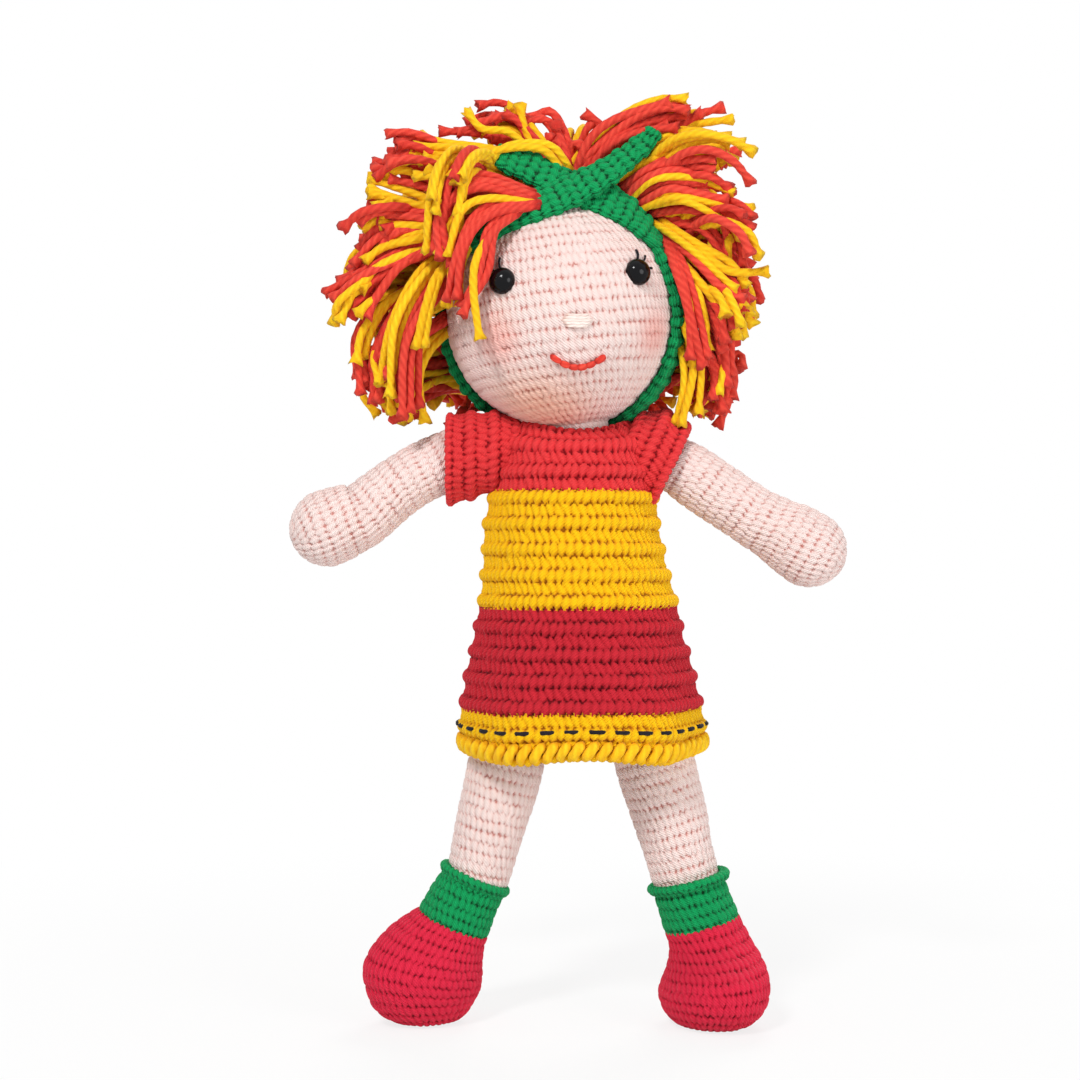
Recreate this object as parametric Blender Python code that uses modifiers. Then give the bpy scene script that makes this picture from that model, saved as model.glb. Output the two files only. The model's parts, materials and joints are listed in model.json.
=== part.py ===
"""A crocheted yarn doll that stands on its two boots.

Each sewn piece is a knitted cover round a core of stuffing. The head turns on the neck, the
arms rise and drop at the shoulders, and the legs swing at the hips. Left and right are the
viewer's, with the face towards -Y. Every place is measured from the doll's upright middle
line, and doll_root then sets that line where the whole doll's box is centred on the origin.
"""

import math

import bmesh
import bpy
from mathutils import Matrix, Vector

MM = 0.001
SIDES = {"left": -1, "right": 1}
WELD = 0.01 * MM

# Cloth and fits
WALL = 2.0 * MM
SEAT = 0.3 * MM
BALL_FIT = 0.6 * MM
OVERRUN = 4.0 * MM
DOLL_Y = -10.5 * MM

# Head
HEAD_R = 40.2 * MM
HEAD_AT = Vector((-2.1 * MM, 0, 246.6 * MM))
HEAD_OPENING_R = 8.0 * MM
HEAD_STEPS = 20

# Eyes: a domed bead on a shank, held by a washer inside the head
EYE_R = 4.6 * MM
EYE_HEIGHT = 3.8 * MM
SHANK_R = 1.9 * MM
SHANK_LENGTH = 8.5 * MM
WASHER_R = 5.2 * MM
WASHER_T = 1.2 * MM
EYE_DEGREES = {"left": (-27.0, 12.0), "right": (40.0, 14.0)}

# Nose and mouth
NOSE_DEGREES = (6.6, -9.0)
NOSE_HALF = Vector((4.4 * MM, 2.6 * MM, 2.8 * MM))
MOUTH_DEGREES = (7.8, -24.0)
MOUTH_HALF_DEGREES = 17.0
MOUTH_DROP_DEGREES = 6.0
MOUTH_R = 1.1 * MM

# Headband: a strip laid round the head behind the face, crossing itself on top
BAND_WIDTH = 13.0 * MM
BAND_T = 2.4 * MM
TAIL_LENGTH = {"left": 35.0 * MM, "right": 37.0 * MM}
TAIL_END_WIDTH = {"left": 12.0 * MM, "right": 7.0 * MM}
TAIL_RISE = {"left": 5.0 * MM, "right": 16.0 * MM}
# Round the head from the knot: degrees of roll from the top, and the edge's degrees from the front
BAND_COURSE = (
    (23, 57), (54, 62), (80, 62), (100, 66), (121, 71), (140, 78), (157, 99), (172, 114),
    (190, 114), (207, 102), (235, 92), (270, 84), (300, 72), (322, 56), (345, 48), (365, 53),
)

# Torso, with the neck as its top
BODY_X = 2.4 * MM
BODY_TOP_Z = 200.0 * MM
BODY_LEAN_SHARE = 0.018
BODY_DEPTH_SHARE = 0.84
BODY_INSET = (WALL + 2 * SEAT) / BODY_DEPTH_SHARE
NECK_R = 11.5 * MM
NECK_Z = 210.0 * MM
HIPS_R = 28.0 * MM
HIPS_Z = 128.0 * MM
TORSO_SNUG_Z = 168.0 * MM
TORSO_FOOT_Z = 106.0 * MM
BODY_STEPS = 18
# The torso's rounded seat: radius as a share of HIPS_R, height as a share of HIPS_Z's rise
SEAT_SHARES = ((0.99, 0.62), (0.88, 0.24), (0.55, 0.04), (0.0, 0.0))

# Dress: outer half width at each height, with the four bands of yarn named by their top edges
DRESS_NECK_R = 14.2 * MM
DRESS_CHEST_R = 27.9 * MM
DRESS_WAIST_R = 33.8 * MM
DRESS_HEM_R = 42.8 * MM
DRESS_NECK_Z = 204.6 * MM
DRESS_SHOULDER_Z = 198.0 * MM
DRESS_CHEST_Z = 182.0 * MM
DRESS_WAIST_Z = 146.0 * MM
DRESS_HEM_Z = 104.0 * MM
DRESS_FOOT_Z = 93.5 * MM
HEM_CURL = 1.0 * MM
DRESS_HEM_DEPTH_SHARE = 0.88
DRESS_BANDS = (
    ("dress_yoke", DRESS_NECK_Z, "coral yarn"),
    ("dress_bodice", 184.0 * MM, "golden yarn"),
    ("dress_skirt", DRESS_WAIST_Z, "crimson yarn"),
    ("dress_hem", 110.5 * MM, "golden yarn"),
)

# Arms and sleeves
SHOULDER_AT = {
    "left": Vector((-26.3 * MM, 0, 199.8 * MM)),
    "right": Vector((31.0 * MM, 0, 199.0 * MM)),
}
ARM_DROP_DEGREES = {"left": 28.5, "right": 33.5}
HAND_DROP_DEGREES = {"left": 21.0, "right": 28.5}
ARM_FORWARD_DEGREES = 6.0
ARM_BALL_R = 7.4 * MM
ARM_TOP_R = 10.7 * MM
ARM_R = 10.0 * MM
WRIST_R = 10.1 * MM
HAND_R = 12.9 * MM
ARM_MOUTH_AT = 16.0 * MM
WRIST_AT = 42.0 * MM
HAND_AT = {"left": 64.6 * MM, "right": 63.2 * MM}
ARM_OPENING_R = 4.0 * MM
SLEEVE_BALL_R = 9.8 * MM
SLEEVE_MOUTH_R = 13.6 * MM
SLEEVE_LENGTH = {"left": 16.5 * MM, "right": 12.0 * MM}
SLEEVE_OPENING_R = 5.0 * MM
SLEEVE_FLARE_SHARES = ((0, 0), (0.3, 0.42), (0.65, 0.82), (1, 1))
ARM_LOWER_DEGREES = 18.0
ARM_SIDES_ROUND = 3

# Legs
HIP_AT = {
    "left": Vector((-14.6 * MM, 0, 117.0 * MM)),
    "right": Vector((23.3 * MM, 0, 117.0 * MM)),
}
LEG_SPLAY_DEGREES = {"left": 14.3, "right": 14.9}
HIP_BALL_R = 13.2 * MM
LEG_TOP_R = {"left": 12.9 * MM, "right": 13.3 * MM}
LEG_ANKLE_R = {"left": 10.8 * MM, "right": 11.3 * MM}
LEG_LENGTH = {"left": 66.2 * MM, "right": 68.2 * MM}
LEG_ROOM = 26.0 * MM
LEG_SWING_DEGREES = 15.0
LEG_OPENING_R = 4.0 * MM
LEG_SIDES_ROUND = 4

# Boots: a green shaft with a rolled cuff, and the foot
CUFF_R = 2.4 * MM
CUFF_RING_R = {"left": 9.9 * MM, "right": 12.3 * MM}
BOOT_SHAFT_R = {"left": 11.9 * MM, "right": 13.9 * MM}
BOOT_FOOT_TOP_Z = 34.0 * MM
FOOT_HALF_WIDTH = 18.4 * MM
FOOT_HALF_LENGTH = 23.0 * MM
FOOT_FORWARD = 10.0 * MM
FOOT_ASIDE = {"left": 6.4 * MM, "right": 1.8 * MM}
FOOT_MID_Z = 17.0 * MM
SOLE_R = 13.0 * MM
TOE_OUT_DEGREES = {"left": 62.0, "right": 25.0}
FOOT_STEPS = 16

# Hair: bundles of strands. Each lock has its root's degrees of roll from the top and degrees
# behind the band's edge, then its middle and its tip as shares of HAIR_REACH to the right, back
# and up, and its thickness as a share of HAIR_LOCK_R
HAIR_REACH = 75.0 * MM
HAIR_STAND = 16.0 * MM
HAIR_ROOT_R = 4.2 * MM
HAIR_LOCK_R = 9.0 * MM
HAIR_TIP_DRAW = 2.0 * MM
HAIR_SWELL_SHARE = 0.62
HAIR_DRAW_SHARE = 0.67
HAIR_POINTS = 8
HAIR_SHARES = (
    (6, 31, (0.24, -0.10, 0.80), (0.62, -0.14, 0.87), 1.0),
    (34, 31, (0.52, -0.22, 0.67), (0.82, -0.24, 0.62), 1.0),
    (60, 31, (0.70, -0.20, 0.40), (0.86, -0.22, 0.25), 1.0),
    (82, 31, (0.72, -0.14, 0.07), (0.82, -0.18, -0.17), 0.94),
    (112, 31, (0.65, 0.00, -0.22), (0.64, -0.08, -0.43), 0.9),
    (-8, 31, (-0.16, -0.08, 0.81), (-0.42, -0.12, 0.87), 0.9),
    (-26, 36, (-0.41, -0.34, 0.67), (-0.54, -0.40, 0.23), 0.72),
    (-40, 33, (-0.56, -0.18, 0.66), (-0.86, -0.18, 0.64), 0.94),
    (-58, 34, (-0.68, -0.13, 0.42), (-0.94, -0.20, 0.34), 0.9),
    (-76, 34, (-0.80, -0.06, 0.14), (-0.98, -0.18, 0.00), 0.9),
    (-97, 36, (-0.76, 0.03, -0.13), (-0.78, -0.14, -0.36), 0.9),
    (-124, 37, (-0.63, 0.20, -0.29), (-0.75, 0.17, -0.49), 0.84),
    (0, 62, (0.04, 0.30, 0.78), (0.00, 0.56, 0.70), 1.2),
    (40, 62, (0.50, 0.28, 0.62), (0.66, 0.44, 0.46), 1.2),
    (-40, 62, (-0.50, 0.28, 0.62), (-0.68, 0.44, 0.46), 1.2),
    (72, 58, (0.70, 0.24, 0.22), (0.84, 0.34, 0.00), 1.2),
    (-68, 60, (-0.74, 0.30, 0.24), (-0.88, 0.38, 0.04), 1.16),
    (106, 54, (0.67, 0.32, -0.20), (0.68, 0.30, -0.45), 1.0),
    (-100, 54, (-0.72, 0.38, -0.17), (-0.74, 0.37, -0.43), 0.94),
    (20, 96, (0.22, 0.64, 0.38), (0.30, 0.72, 0.12), 1.2),
    (-20, 94, (-0.22, 0.64, 0.40), (-0.30, 0.71, 0.16), 1.16),
    (100, 84, (0.48, 0.60, -0.04), (0.50, 0.62, -0.34), 1.2),
    (-110, 74, (-0.43, 0.63, -0.13), (-0.45, 0.62, -0.40), 1.1),
    (176, 46, (0.04, 0.68, -0.14), (0.04, 0.69, -0.40), 1.16),
)

COLOURS = {
    "skin yarn": ((0.90, 0.72, 0.67, 1), 0.9),
    "stuffing": ((0.92, 0.91, 0.88, 1), 0.95),
    "coral yarn": ((0.80, 0.06, 0.05, 1), 0.9),
    "golden yarn": ((0.88, 0.46, 0.01, 1), 0.9),
    "crimson yarn": ((0.55, 0.02, 0.04, 1), 0.9),
    "green yarn": ((0.01, 0.27, 0.09, 1), 0.9),
    "amber yarn": ((0.86, 0.36, 0.01, 1), 0.9),
    "black bead": ((0.005, 0.005, 0.006, 1), 0.15),
    "white plastic": ((0.8, 0.8, 0.78, 1), 0.45),
}


def clear_scene():
    for obj in list(bpy.data.objects):
        bpy.data.objects.remove(obj)


def collection(name):
    made = bpy.data.collections.new(name)
    bpy.context.scene.collection.children.link(made)
    return made


def material(name):
    if name in bpy.data.materials:
        return bpy.data.materials[name]
    made = bpy.data.materials.new(name)
    made.use_nodes = True
    shader = made.node_tree.nodes["Principled BSDF"]
    shader.inputs["Base Color"].default_value = COLOURS[name][0]
    shader.inputs["Roughness"].default_value = COLOURS[name][1]
    made.diffuse_color = COLOURS[name][0]
    return made


def add(name, mesh, yarn, pivot=Vector()):
    """An object whose origin is the pivot that its body turns on."""
    mesh.transform(Matrix.Translation(-pivot))
    mesh.name = name
    obj = bpy.data.objects.new(name, mesh)
    obj.location = pivot
    obj.parent = doll_root
    parts.objects.link(obj)
    mesh.materials.clear()
    mesh.materials.append(material(yarn))
    mesh.shade_smooth()
    return obj


def edge_at(roll):
    """How far the band's front edge lies from the front, in degrees, at a roll from the top."""
    first_roll, first_edge = BAND_COURSE[0]
    course = [*BAND_COURSE, (first_roll + 360, first_edge)]
    roll = (roll - first_roll) % 360 + first_roll
    for (r0, e0), (r1, e1) in zip(course, course[1:]):
        if r0 <= roll <= r1:
            return e0 + (e1 - e0) * (roll - r0) / (r1 - r0)
    return first_edge


def baked(obj, closed=False):
    """The evaluated mesh of a working object, which is then removed."""
    graph = bpy.context.evaluated_depsgraph_get()
    mesh = bpy.data.meshes.new_from_object(obj.evaluated_get(graph))
    bpy.data.objects.remove(obj)
    work = bmesh.new()
    work.from_mesh(mesh)
    bmesh.ops.remove_doubles(work, verts=work.verts, dist=WELD)
    if closed:
        bmesh.ops.recalc_face_normals(work, faces=work.faces)
    work.to_mesh(mesh)
    work.free()
    return mesh


def turned_mesh(profile, steps):
    """Turns (radius, height) points, which run down the outer side, about Z."""
    mesh = bpy.data.meshes.new("profile")
    ends = [(i, i + 1) for i in range(len(profile) - 1)]
    mesh.from_pydata([(r, 0, z) for r, z in profile], ends, [])
    obj = bpy.data.objects.new("profile", mesh)
    parts.objects.link(obj)
    screw = obj.modifiers.new("Turn", "SCREW")
    screw.steps = screw.render_steps = steps
    screw.use_merge_vertices = True
    screw.merge_threshold = WELD
    return baked(obj)


def tube_mesh(points, radii, half_sides, caps=True):
    """A tube through the points, with a radius at each."""
    curve = bpy.data.curves.new("tube", "CURVE")
    curve.dimensions = "3D"
    curve.bevel_depth = 1
    curve.bevel_resolution = half_sides
    curve.use_fill_caps = caps
    spline = curve.splines.new("POLY")
    spline.points.add(len(points) - 1)
    for knot, point, radius in zip(spline.points, points, radii):
        knot.co = (*point, 1)
        knot.radius = radius
    obj = bpy.data.objects.new("tube", curve)
    parts.objects.link(obj)
    return baked(obj, closed=caps)


def smooth(stations, per_span):
    """Points on a Catmull-Rom curve through the stations."""
    knots = [Vector(station) for station in stations]
    knots = [2 * knots[0] - knots[1], *knots, 2 * knots[-1] - knots[-2]]
    points = []
    for a, b, c, d in zip(knots, knots[1:], knots[2:], knots[3:]):
        for step in range(per_span):
            t = step / per_span
            points.append(
                (2 * b + (c - a) * t + (2 * a - 5 * b + 4 * c - d) * t**2
                 + (3 * b - a - 3 * c + d) * t**3) / 2
            )
    return [*points, knots[-2]]


def inset(profile, distance):
    """A turned profile moved inwards with mitred corners, and closed at both ends on the axis."""
    knots = [Vector(point) for point in profile]
    runs = [(b - a).normalized() for a, b in zip(knots, knots[1:])]
    moved = []
    for point, before, after in zip(knots, [runs[0], *runs], [*runs, runs[-1]]):
        along = (before + after).normalized()
        square = Vector((along.y, -along.x))
        point = point + distance / along.dot(after) * square
        if point.x > WELD:
            moved.append(tuple(point))
    top, foot = (0, moved[0][1]), (0, moved[-1][1])
    return [top, *moved, foot]


def thicken(obj, wall=WALL):
    shell = obj.modifiers.new("Wall", "SOLIDIFY")
    shell.thickness = wall
    shell.offset = -1
    shell.use_even_offset = True
    return obj


def cutter(name, mesh):
    obj = bpy.data.objects.new(name, mesh)
    obj.parent = doll_root
    obj.hide_render = True
    obj.display_type = "WIRE"
    cutters.objects.link(obj)
    return obj


def ball(centre, radius, segments=24):
    work = bmesh.new()
    bmesh.ops.create_uvsphere(
        work, u_segments=segments, v_segments=segments // 2, radius=radius,
        matrix=Matrix.Translation(centre),
    )
    mesh = bpy.data.meshes.new("ball")
    work.to_mesh(mesh)
    work.free()
    return mesh


def cut(obj, *tools):
    for tool in tools:
        boolean = obj.modifiers.new(tool.name, "BOOLEAN")
        boolean.operation = "DIFFERENCE"
        boolean.object = tool
    return obj


def facing(azimuth, elevation):
    """The direction from the head's centre, from the front to the right and then up."""
    a, e = math.radians(azimuth), math.radians(elevation)
    return Vector((math.sin(a) * math.cos(e), -math.cos(a) * math.cos(e), math.sin(e)))


def rolled(roll, from_front):
    """The direction at an angle from the front, rolled clockwise from the top."""
    r, f = math.radians(roll), math.radians(from_front)
    return Vector((math.sin(f) * math.sin(r), -math.cos(f), math.sin(f) * math.cos(r)))


def looking(direction, at):
    """The matrix that turns +Z to the direction, at a place."""
    return Matrix.Translation(at) @ direction.to_track_quat("Z", "Y").to_matrix().to_4x4()


def body_x(z):
    return BODY_X + BODY_LEAN_SHARE * (BODY_TOP_Z - z)


def set_on_body(mesh, depth_share=BODY_DEPTH_SHARE, foot_depth_share=None, foot_z=TORSO_FOOT_Z):
    """Narrows a turned mesh from front to back and leans it along the body's middle line."""
    for vertex in mesh.vertices:
        share = depth_share
        if foot_depth_share is not None:
            down = (BODY_TOP_Z - vertex.co.z) / (BODY_TOP_Z - foot_z)
            share += (foot_depth_share - depth_share) * min(max(down, 0), 1)
        vertex.co.y *= share
        vertex.co.x += body_x(vertex.co.z)
    return mesh


def head_axis():
    neck = Vector((body_x(NECK_Z), 0, NECK_Z))
    return (HEAD_AT - neck).normalized()


def sphere_profile(radius, top_degrees, foot_degrees, count):
    """An arc from near the top to near the foot of a ball, in degrees from the top."""
    turn = [top_degrees + (foot_degrees - top_degrees) * i / count for i in range(count + 1)]
    return [
        (radius * abs(math.sin(math.radians(t))), radius * math.cos(math.radians(t)))
        for t in turn
    ]


def head_profile(radius):
    """The head's side from its top to its opening at the neck."""
    mouth = 180 - math.degrees(math.asin(HEAD_OPENING_R / HEAD_R))
    return sphere_profile(radius, 0, mouth, HEAD_STEPS // 2)


def head_room():
    """The head's own facets grown by the seat, for what stands on it or under it."""
    room = turned_mesh([*head_profile(HEAD_R + SEAT), (0, -HEAD_R - SEAT)], HEAD_STEPS)
    room.transform(looking(head_axis(), HEAD_AT))
    return room


def make_head():
    turn = looking(head_axis(), HEAD_AT)
    cover = turned_mesh(head_profile(HEAD_R), HEAD_STEPS)
    cover.transform(turn)
    core_r = HEAD_R - WALL - 2 * SEAT
    core = turned_mesh(sphere_profile(core_r, 0, 180, HEAD_STEPS // 2), HEAD_STEPS)
    core.transform(turn)
    head = thicken(add("head_cover", cover, "skin yarn", HEAD_AT))
    stuffing = add("head_stuffing", core, "stuffing", HEAD_AT)
    for side in SIDES:
        make_eye(side, head, stuffing)


def make_eye(side, head, stuffing):
    """A bead whose shank goes through the cover, and the washer that holds it."""
    turn = looking(facing(*EYE_DEGREES[side]), HEAD_AT)
    seat = HEAD_R + SEAT
    foot = seat - SHANK_LENGTH
    washer_top = HEAD_R - WALL - 5 * SEAT
    dome = [
        (EYE_R * math.sin(math.radians(a)), seat + EYE_HEIGHT * math.cos(math.radians(a)))
        for a in range(0, 91, 18)
    ]
    bead = turned_mesh([*dome, (SHANK_R, seat), (SHANK_R, foot), (0, foot)], 16)
    bead.transform(turn)
    add(f"eye_{side}", bead, "black bead", HEAD_AT)
    bore = SHANK_R + SEAT
    washer = turned_mesh(
        [(bore, washer_top), (WASHER_R, washer_top), (WASHER_R, washer_top - WASHER_T),
         (bore, washer_top - WASHER_T), (bore, washer_top)], 12,
    )
    washer.transform(turn)
    add(f"eye_{side}_washer", washer, "white plastic", HEAD_AT)
    hole = turned_mesh(
        [(0, seat + OVERRUN), (bore, seat + OVERRUN), (bore, foot - OVERRUN),
         (0, foot - OVERRUN)], 12,
    )
    hole.transform(turn)
    cut(head, cutter(f"eye_{side}_hole", hole))
    room = WASHER_R + 2 * SEAT
    pocket = turned_mesh(
        [(0, seat + OVERRUN), (room, seat + OVERRUN), (room, washer_top - WASHER_T - SEAT),
         (bore, washer_top - WASHER_T - SEAT), (bore, foot - SEAT), (0, foot - SEAT)], 12,
    )
    pocket.transform(turn)
    cut(stuffing, cutter(f"eye_{side}_pocket", pocket))


def make_nose_and_mouth():
    direction = facing(*NOSE_DEGREES)
    nose = ball(Vector(), 1, 12)
    nose.transform(Matrix.Diagonal((NOSE_HALF.x, NOSE_HALF.z, NOSE_HALF.y, 1)))
    nose.transform(looking(direction, HEAD_AT + direction * HEAD_R))
    cut(add("nose", nose, "skin yarn", HEAD_AT), head_seat)
    azimuth, elevation = MOUTH_DEGREES
    line = [
        HEAD_AT + facing(
            azimuth + share * MOUTH_HALF_DEGREES,
            elevation - MOUTH_DROP_DEGREES * (1 - share * share),
        ) * (HEAD_R + MOUTH_R + SEAT)
        for share in [i / 4 - 1 for i in range(9)]
    ]
    radii = [MOUTH_R * taper for taper in (0.6, 0.9, 1, 1, 1, 1, 1, 0.9, 0.6)]
    add("mouth", tube_mesh(line, radii, 1), "coral yarn", HEAD_AT)


def strip_mesh(sections):
    """A closed strip through its sections, each with its corners in order round it."""
    count, around = len(sections), len(sections[0])
    faces = [
        (around * i + k, around * i + (k + 1) % around,
         around * (i + 1) + (k + 1) % around, around * (i + 1) + k)
        for i in range(count - 1)
        for k in range(around)
    ]
    first, last = tuple(reversed(range(around))), tuple(range(around * (count - 1), around * count))
    mesh = bpy.data.meshes.new("strip")
    mesh.from_pydata([corner for section in sections for corner in section], [],
                     [first, *faces, last])
    work = bmesh.new()
    work.from_mesh(mesh)
    bmesh.ops.recalc_face_normals(work, faces=work.faces)
    work.to_mesh(mesh)
    work.free()
    return mesh


def band_section(roll, edge, lift, width=BAND_WIDTH):
    """Across the band at a place on the head, lifted off it."""
    inner = HEAD_R + 2 * SEAT + lift
    across = math.degrees(width / HEAD_R)
    ways = [rolled(roll, edge + across * share) for share in (0, 0.5, 1)]
    under = [HEAD_AT + way * inner for way in ways]
    over = [HEAD_AT + way * (inner + BAND_T) for way in reversed(ways)]
    return under + over


def tail_sections(side, roll, edge, lift):
    """A free end that leaves the knot along the band's own direction and rises off the head."""
    sign = -SIDES[side]
    sections = []
    for i in range(1, 6):
        share = i / 5
        turn = math.degrees(TAIL_LENGTH[side] * share / HEAD_R)
        width = BAND_WIDTH + (TAIL_END_WIDTH[side] - BAND_WIDTH) * share
        rise = lift + TAIL_RISE[side] * share**1.6
        sections.append(band_section(roll - sign * turn, edge, rise, width))
    return sections


def make_headband():
    """One strip: a tail, round the head, and over its own start into the other tail."""
    course = smooth(BAND_COURSE, 2)
    over = BAND_T + SEAT
    sections = []
    first_roll, first_edge = course[0]
    left = tail_sections("left", first_roll, first_edge + 1, 0)
    sections += reversed(left)
    sections += [band_section(roll, edge, 0) for roll, edge in course[:-4]]
    steps = course[-4:]
    for i, (roll, edge) in enumerate(steps):
        sections.append(band_section(roll, edge, over * (i + 1) / len(steps)))
    last_roll, last_edge = course[-1]
    sections += tail_sections("right", last_roll, last_edge, over)
    add("headband", strip_mesh(sections), "green yarn", HEAD_AT)


def torso_profile():
    """The body's outer side: the neck, the chest just inside the dress, the hips and the seat."""
    chest = [p for p in inset(dress_profile(), BODY_INSET)[1:-1] if p[1] > TORSO_SNUG_Z]
    neck = [(NECK_R, NECK_Z + OVERRUN), (NECK_R, chest[0][1] + SEAT)]
    rise = HIPS_Z - TORSO_FOOT_Z
    seat = [(HIPS_R * r, TORSO_FOOT_Z + rise * z) for r, z in SEAT_SHARES]
    return [*neck, *[p for p in chest if p[0] > NECK_R + SEAT], (HIPS_R, HIPS_Z), *seat]


def make_torso():
    profile = torso_profile()
    cover = thicken(add("torso_cover", set_on_body(turned_mesh(profile, BODY_STEPS)), "skin yarn"))
    core = inset(profile, BODY_INSET)
    foot = HIP_AT["left"].z
    above = [p for p in core if p[1] > foot + WALL]
    core = turned_mesh([*above, (radius_at(core[1:], foot), foot), (0, foot)], BODY_STEPS)
    stuffing = add("torso_stuffing", set_on_body(core), "stuffing")
    cut(cover, head_seat, *hip_cutters, *shoulder_cutters)
    balls = [tool for tool in hip_cutters + shoulder_cutters if tool.name.endswith("ball")]
    cut(stuffing, head_seat, *balls)


def dress_profile():
    """The dress's outer side from its neck to the foot of its hem, as (radius, height)."""
    chest = DRESS_CHEST_R
    stations = [
        (DRESS_NECK_R, DRESS_NECK_Z),
        ((DRESS_NECK_R + chest) / 2, (2 * DRESS_NECK_Z + DRESS_SHOULDER_Z) / 3),
        (chest - WALL, DRESS_SHOULDER_Z - WALL),
        (chest, DRESS_CHEST_Z),
        ((chest + DRESS_WAIST_R) / 2, (DRESS_CHEST_Z + DRESS_WAIST_Z) / 2),
        (DRESS_WAIST_R, DRESS_WAIST_Z),
        ((DRESS_WAIST_R + DRESS_HEM_R) / 2, (DRESS_WAIST_Z + DRESS_HEM_Z) / 2),
        (DRESS_HEM_R, DRESS_HEM_Z),
        (DRESS_HEM_R - HEM_CURL, DRESS_FOOT_Z),
    ]
    return [tuple(point) for point in smooth(stations, 3)]


def make_dress():
    profile = dress_profile()
    feet = [top for _, top, _ in DRESS_BANDS[1:]] + [DRESS_FOOT_Z]
    for (name, top, yarn), foot in zip(DRESS_BANDS, feet):
        first, last = top - SEAT / 2, foot + SEAT / 2
        inside = [p for p in profile if last + WALL / 2 < p[1] < first - WALL / 2]
        band = [(radius_at(profile, first), first), *inside, (radius_at(profile, last), last)]
        mesh = set_on_body(
            turned_mesh(band, BODY_STEPS), BODY_DEPTH_SHARE, DRESS_HEM_DEPTH_SHARE, DRESS_FOOT_Z
        )
        piece = thicken(add(name, mesh, yarn))
        if top > DRESS_WAIST_Z:
            cut(piece, *shoulder_cutters)


def radius_at(profile, z):
    """The radius where a falling profile passes a height."""
    if z >= profile[0][1]:
        return profile[0][0]
    for (r0, z0), (r1, z1) in zip(profile, profile[1:]):
        if z0 >= z >= z1:
            return r0 + (r1 - r0) * (z0 - z) / (z0 - z1)
    return profile[-1][0]


def arm_direction(side, drop):
    """Out to the side, dropped below level and turned a little to the front."""
    d, f = math.radians(drop), math.radians(ARM_FORWARD_DEGREES)
    return Vector((SIDES[side] * math.cos(d) * math.cos(f), -math.sin(f), -math.sin(d) * math.cos(f)))


def ball_start(radius, opening, shares):
    """The near half of a ball from its opening, as (place along, radius)."""
    start = -math.sqrt(radius**2 - opening**2)
    return [(start * share, math.sqrt(radius**2 - (start * share) ** 2)) for share in shares]


def arm_course(side, shrink=0):
    """The arm's middle line and radii: a ball at the shoulder, a swell, the wrist and the hand."""
    upper = arm_direction(side, ARM_DROP_DEGREES[side])
    lower = arm_direction(side, HAND_DROP_DEGREES[side])
    course = ball_start(ARM_BALL_R - shrink, ARM_OPENING_R, (1, 0.72, 0.36))
    course += [(0, ARM_BALL_R - shrink), (ARM_MOUTH_AT / 2, (ARM_BALL_R + ARM_TOP_R) / 2 - shrink),
               (ARM_MOUTH_AT, ARM_TOP_R - shrink), ((ARM_MOUTH_AT + WRIST_AT) / 2, ARM_R - shrink),
               (WRIST_AT, WRIST_R - shrink)]
    points = [SHOULDER_AT[side] + upper * a for a, _ in course]
    radii = [r for _, r in course]
    wrist, reach = points[-1], HAND_AT[side] - WRIST_AT
    for share in (0.5, 1.0):
        points.append(wrist + lower * reach * share)
        radii.append(WRIST_R + (HAND_R - WRIST_R) * share - shrink)
    hand, hand_r = points[-1], HAND_R - shrink
    for turn in (30, 55, 75, 88):
        t = math.radians(turn)
        points.append(hand + lower * hand_r * math.sin(t))
        radii.append(hand_r * math.cos(t))
    return points, radii


def shell_of(course, half_sides, closed_end):
    """The open tube round a course, with its far end closed by its last ring if asked."""
    points, radii = course
    mesh = tube_mesh(points, radii, half_sides, caps=False)
    if closed_end:
        work = bmesh.new()
        work.from_mesh(mesh)
        rim = [e for e in work.edges if e.is_boundary
               and (e.verts[0].co - points[-1]).length < 2 * radii[-1]]
        bmesh.ops.holes_fill(work, edges=rim)
        bmesh.ops.recalc_face_normals(work, faces=work.faces)
        work.to_mesh(mesh)
        work.free()
    return mesh


def sleeve_course(side, drop, grown=0):
    """The sleeve's middle line and radii, from its seam at the shoulder to its mouth."""
    along = arm_direction(side, drop)
    reach = SLEEVE_LENGTH[side]
    radius = SLEEVE_BALL_R
    course = ball_start(radius, SLEEVE_OPENING_R, (1, 0.7, 0.35))
    course += [(reach * share, radius + (SLEEVE_MOUTH_R - radius) * flare)
               for share, flare in SLEEVE_FLARE_SHARES]
    points = [SHOULDER_AT[side] + along * a for a, _ in course]
    return points, [r + grown for _, r in course]


def make_arm(side):
    pivot = SHOULDER_AT[side]
    course = arm_course(side)
    cover = shell_of(course, ARM_SIDES_ROUND, closed_end=True)
    thicken(add(f"arm_{side}_cover", cover, "skin yarn", pivot))
    core = tube_mesh(*arm_course(side, WALL + 2 * SEAT), ARM_SIDES_ROUND)
    add(f"arm_{side}_stuffing", core, "stuffing", pivot)
    sleeve = shell_of(sleeve_course(side, ARM_DROP_DEGREES[side]), ARM_SIDES_ROUND + 1, False)
    thicken(add(f"sleeve_{side}", sleeve, "coral yarn", pivot))


def shoulder_room(side):
    """What the shoulder's ball and the lowered sleeve need cut from the body and the dress."""
    seat = ball(SHOULDER_AT[side], SLEEVE_BALL_R + 2 * BALL_FIT, 16)
    tools = [cutter(f"shoulder_{side}_ball", seat)]
    for share in (0.4, 0.7, 1):
        drop = ARM_DROP_DEGREES[side] + ARM_LOWER_DEGREES * share
        points, radii = sleeve_course(side, drop, 2 * BALL_FIT)
        room = tube_mesh(points[3:], radii[3:], ARM_SIDES_ROUND + 1)
        tools.append(cutter(f"sleeve_{side}_room_{share}", room))
    return tools


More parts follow.
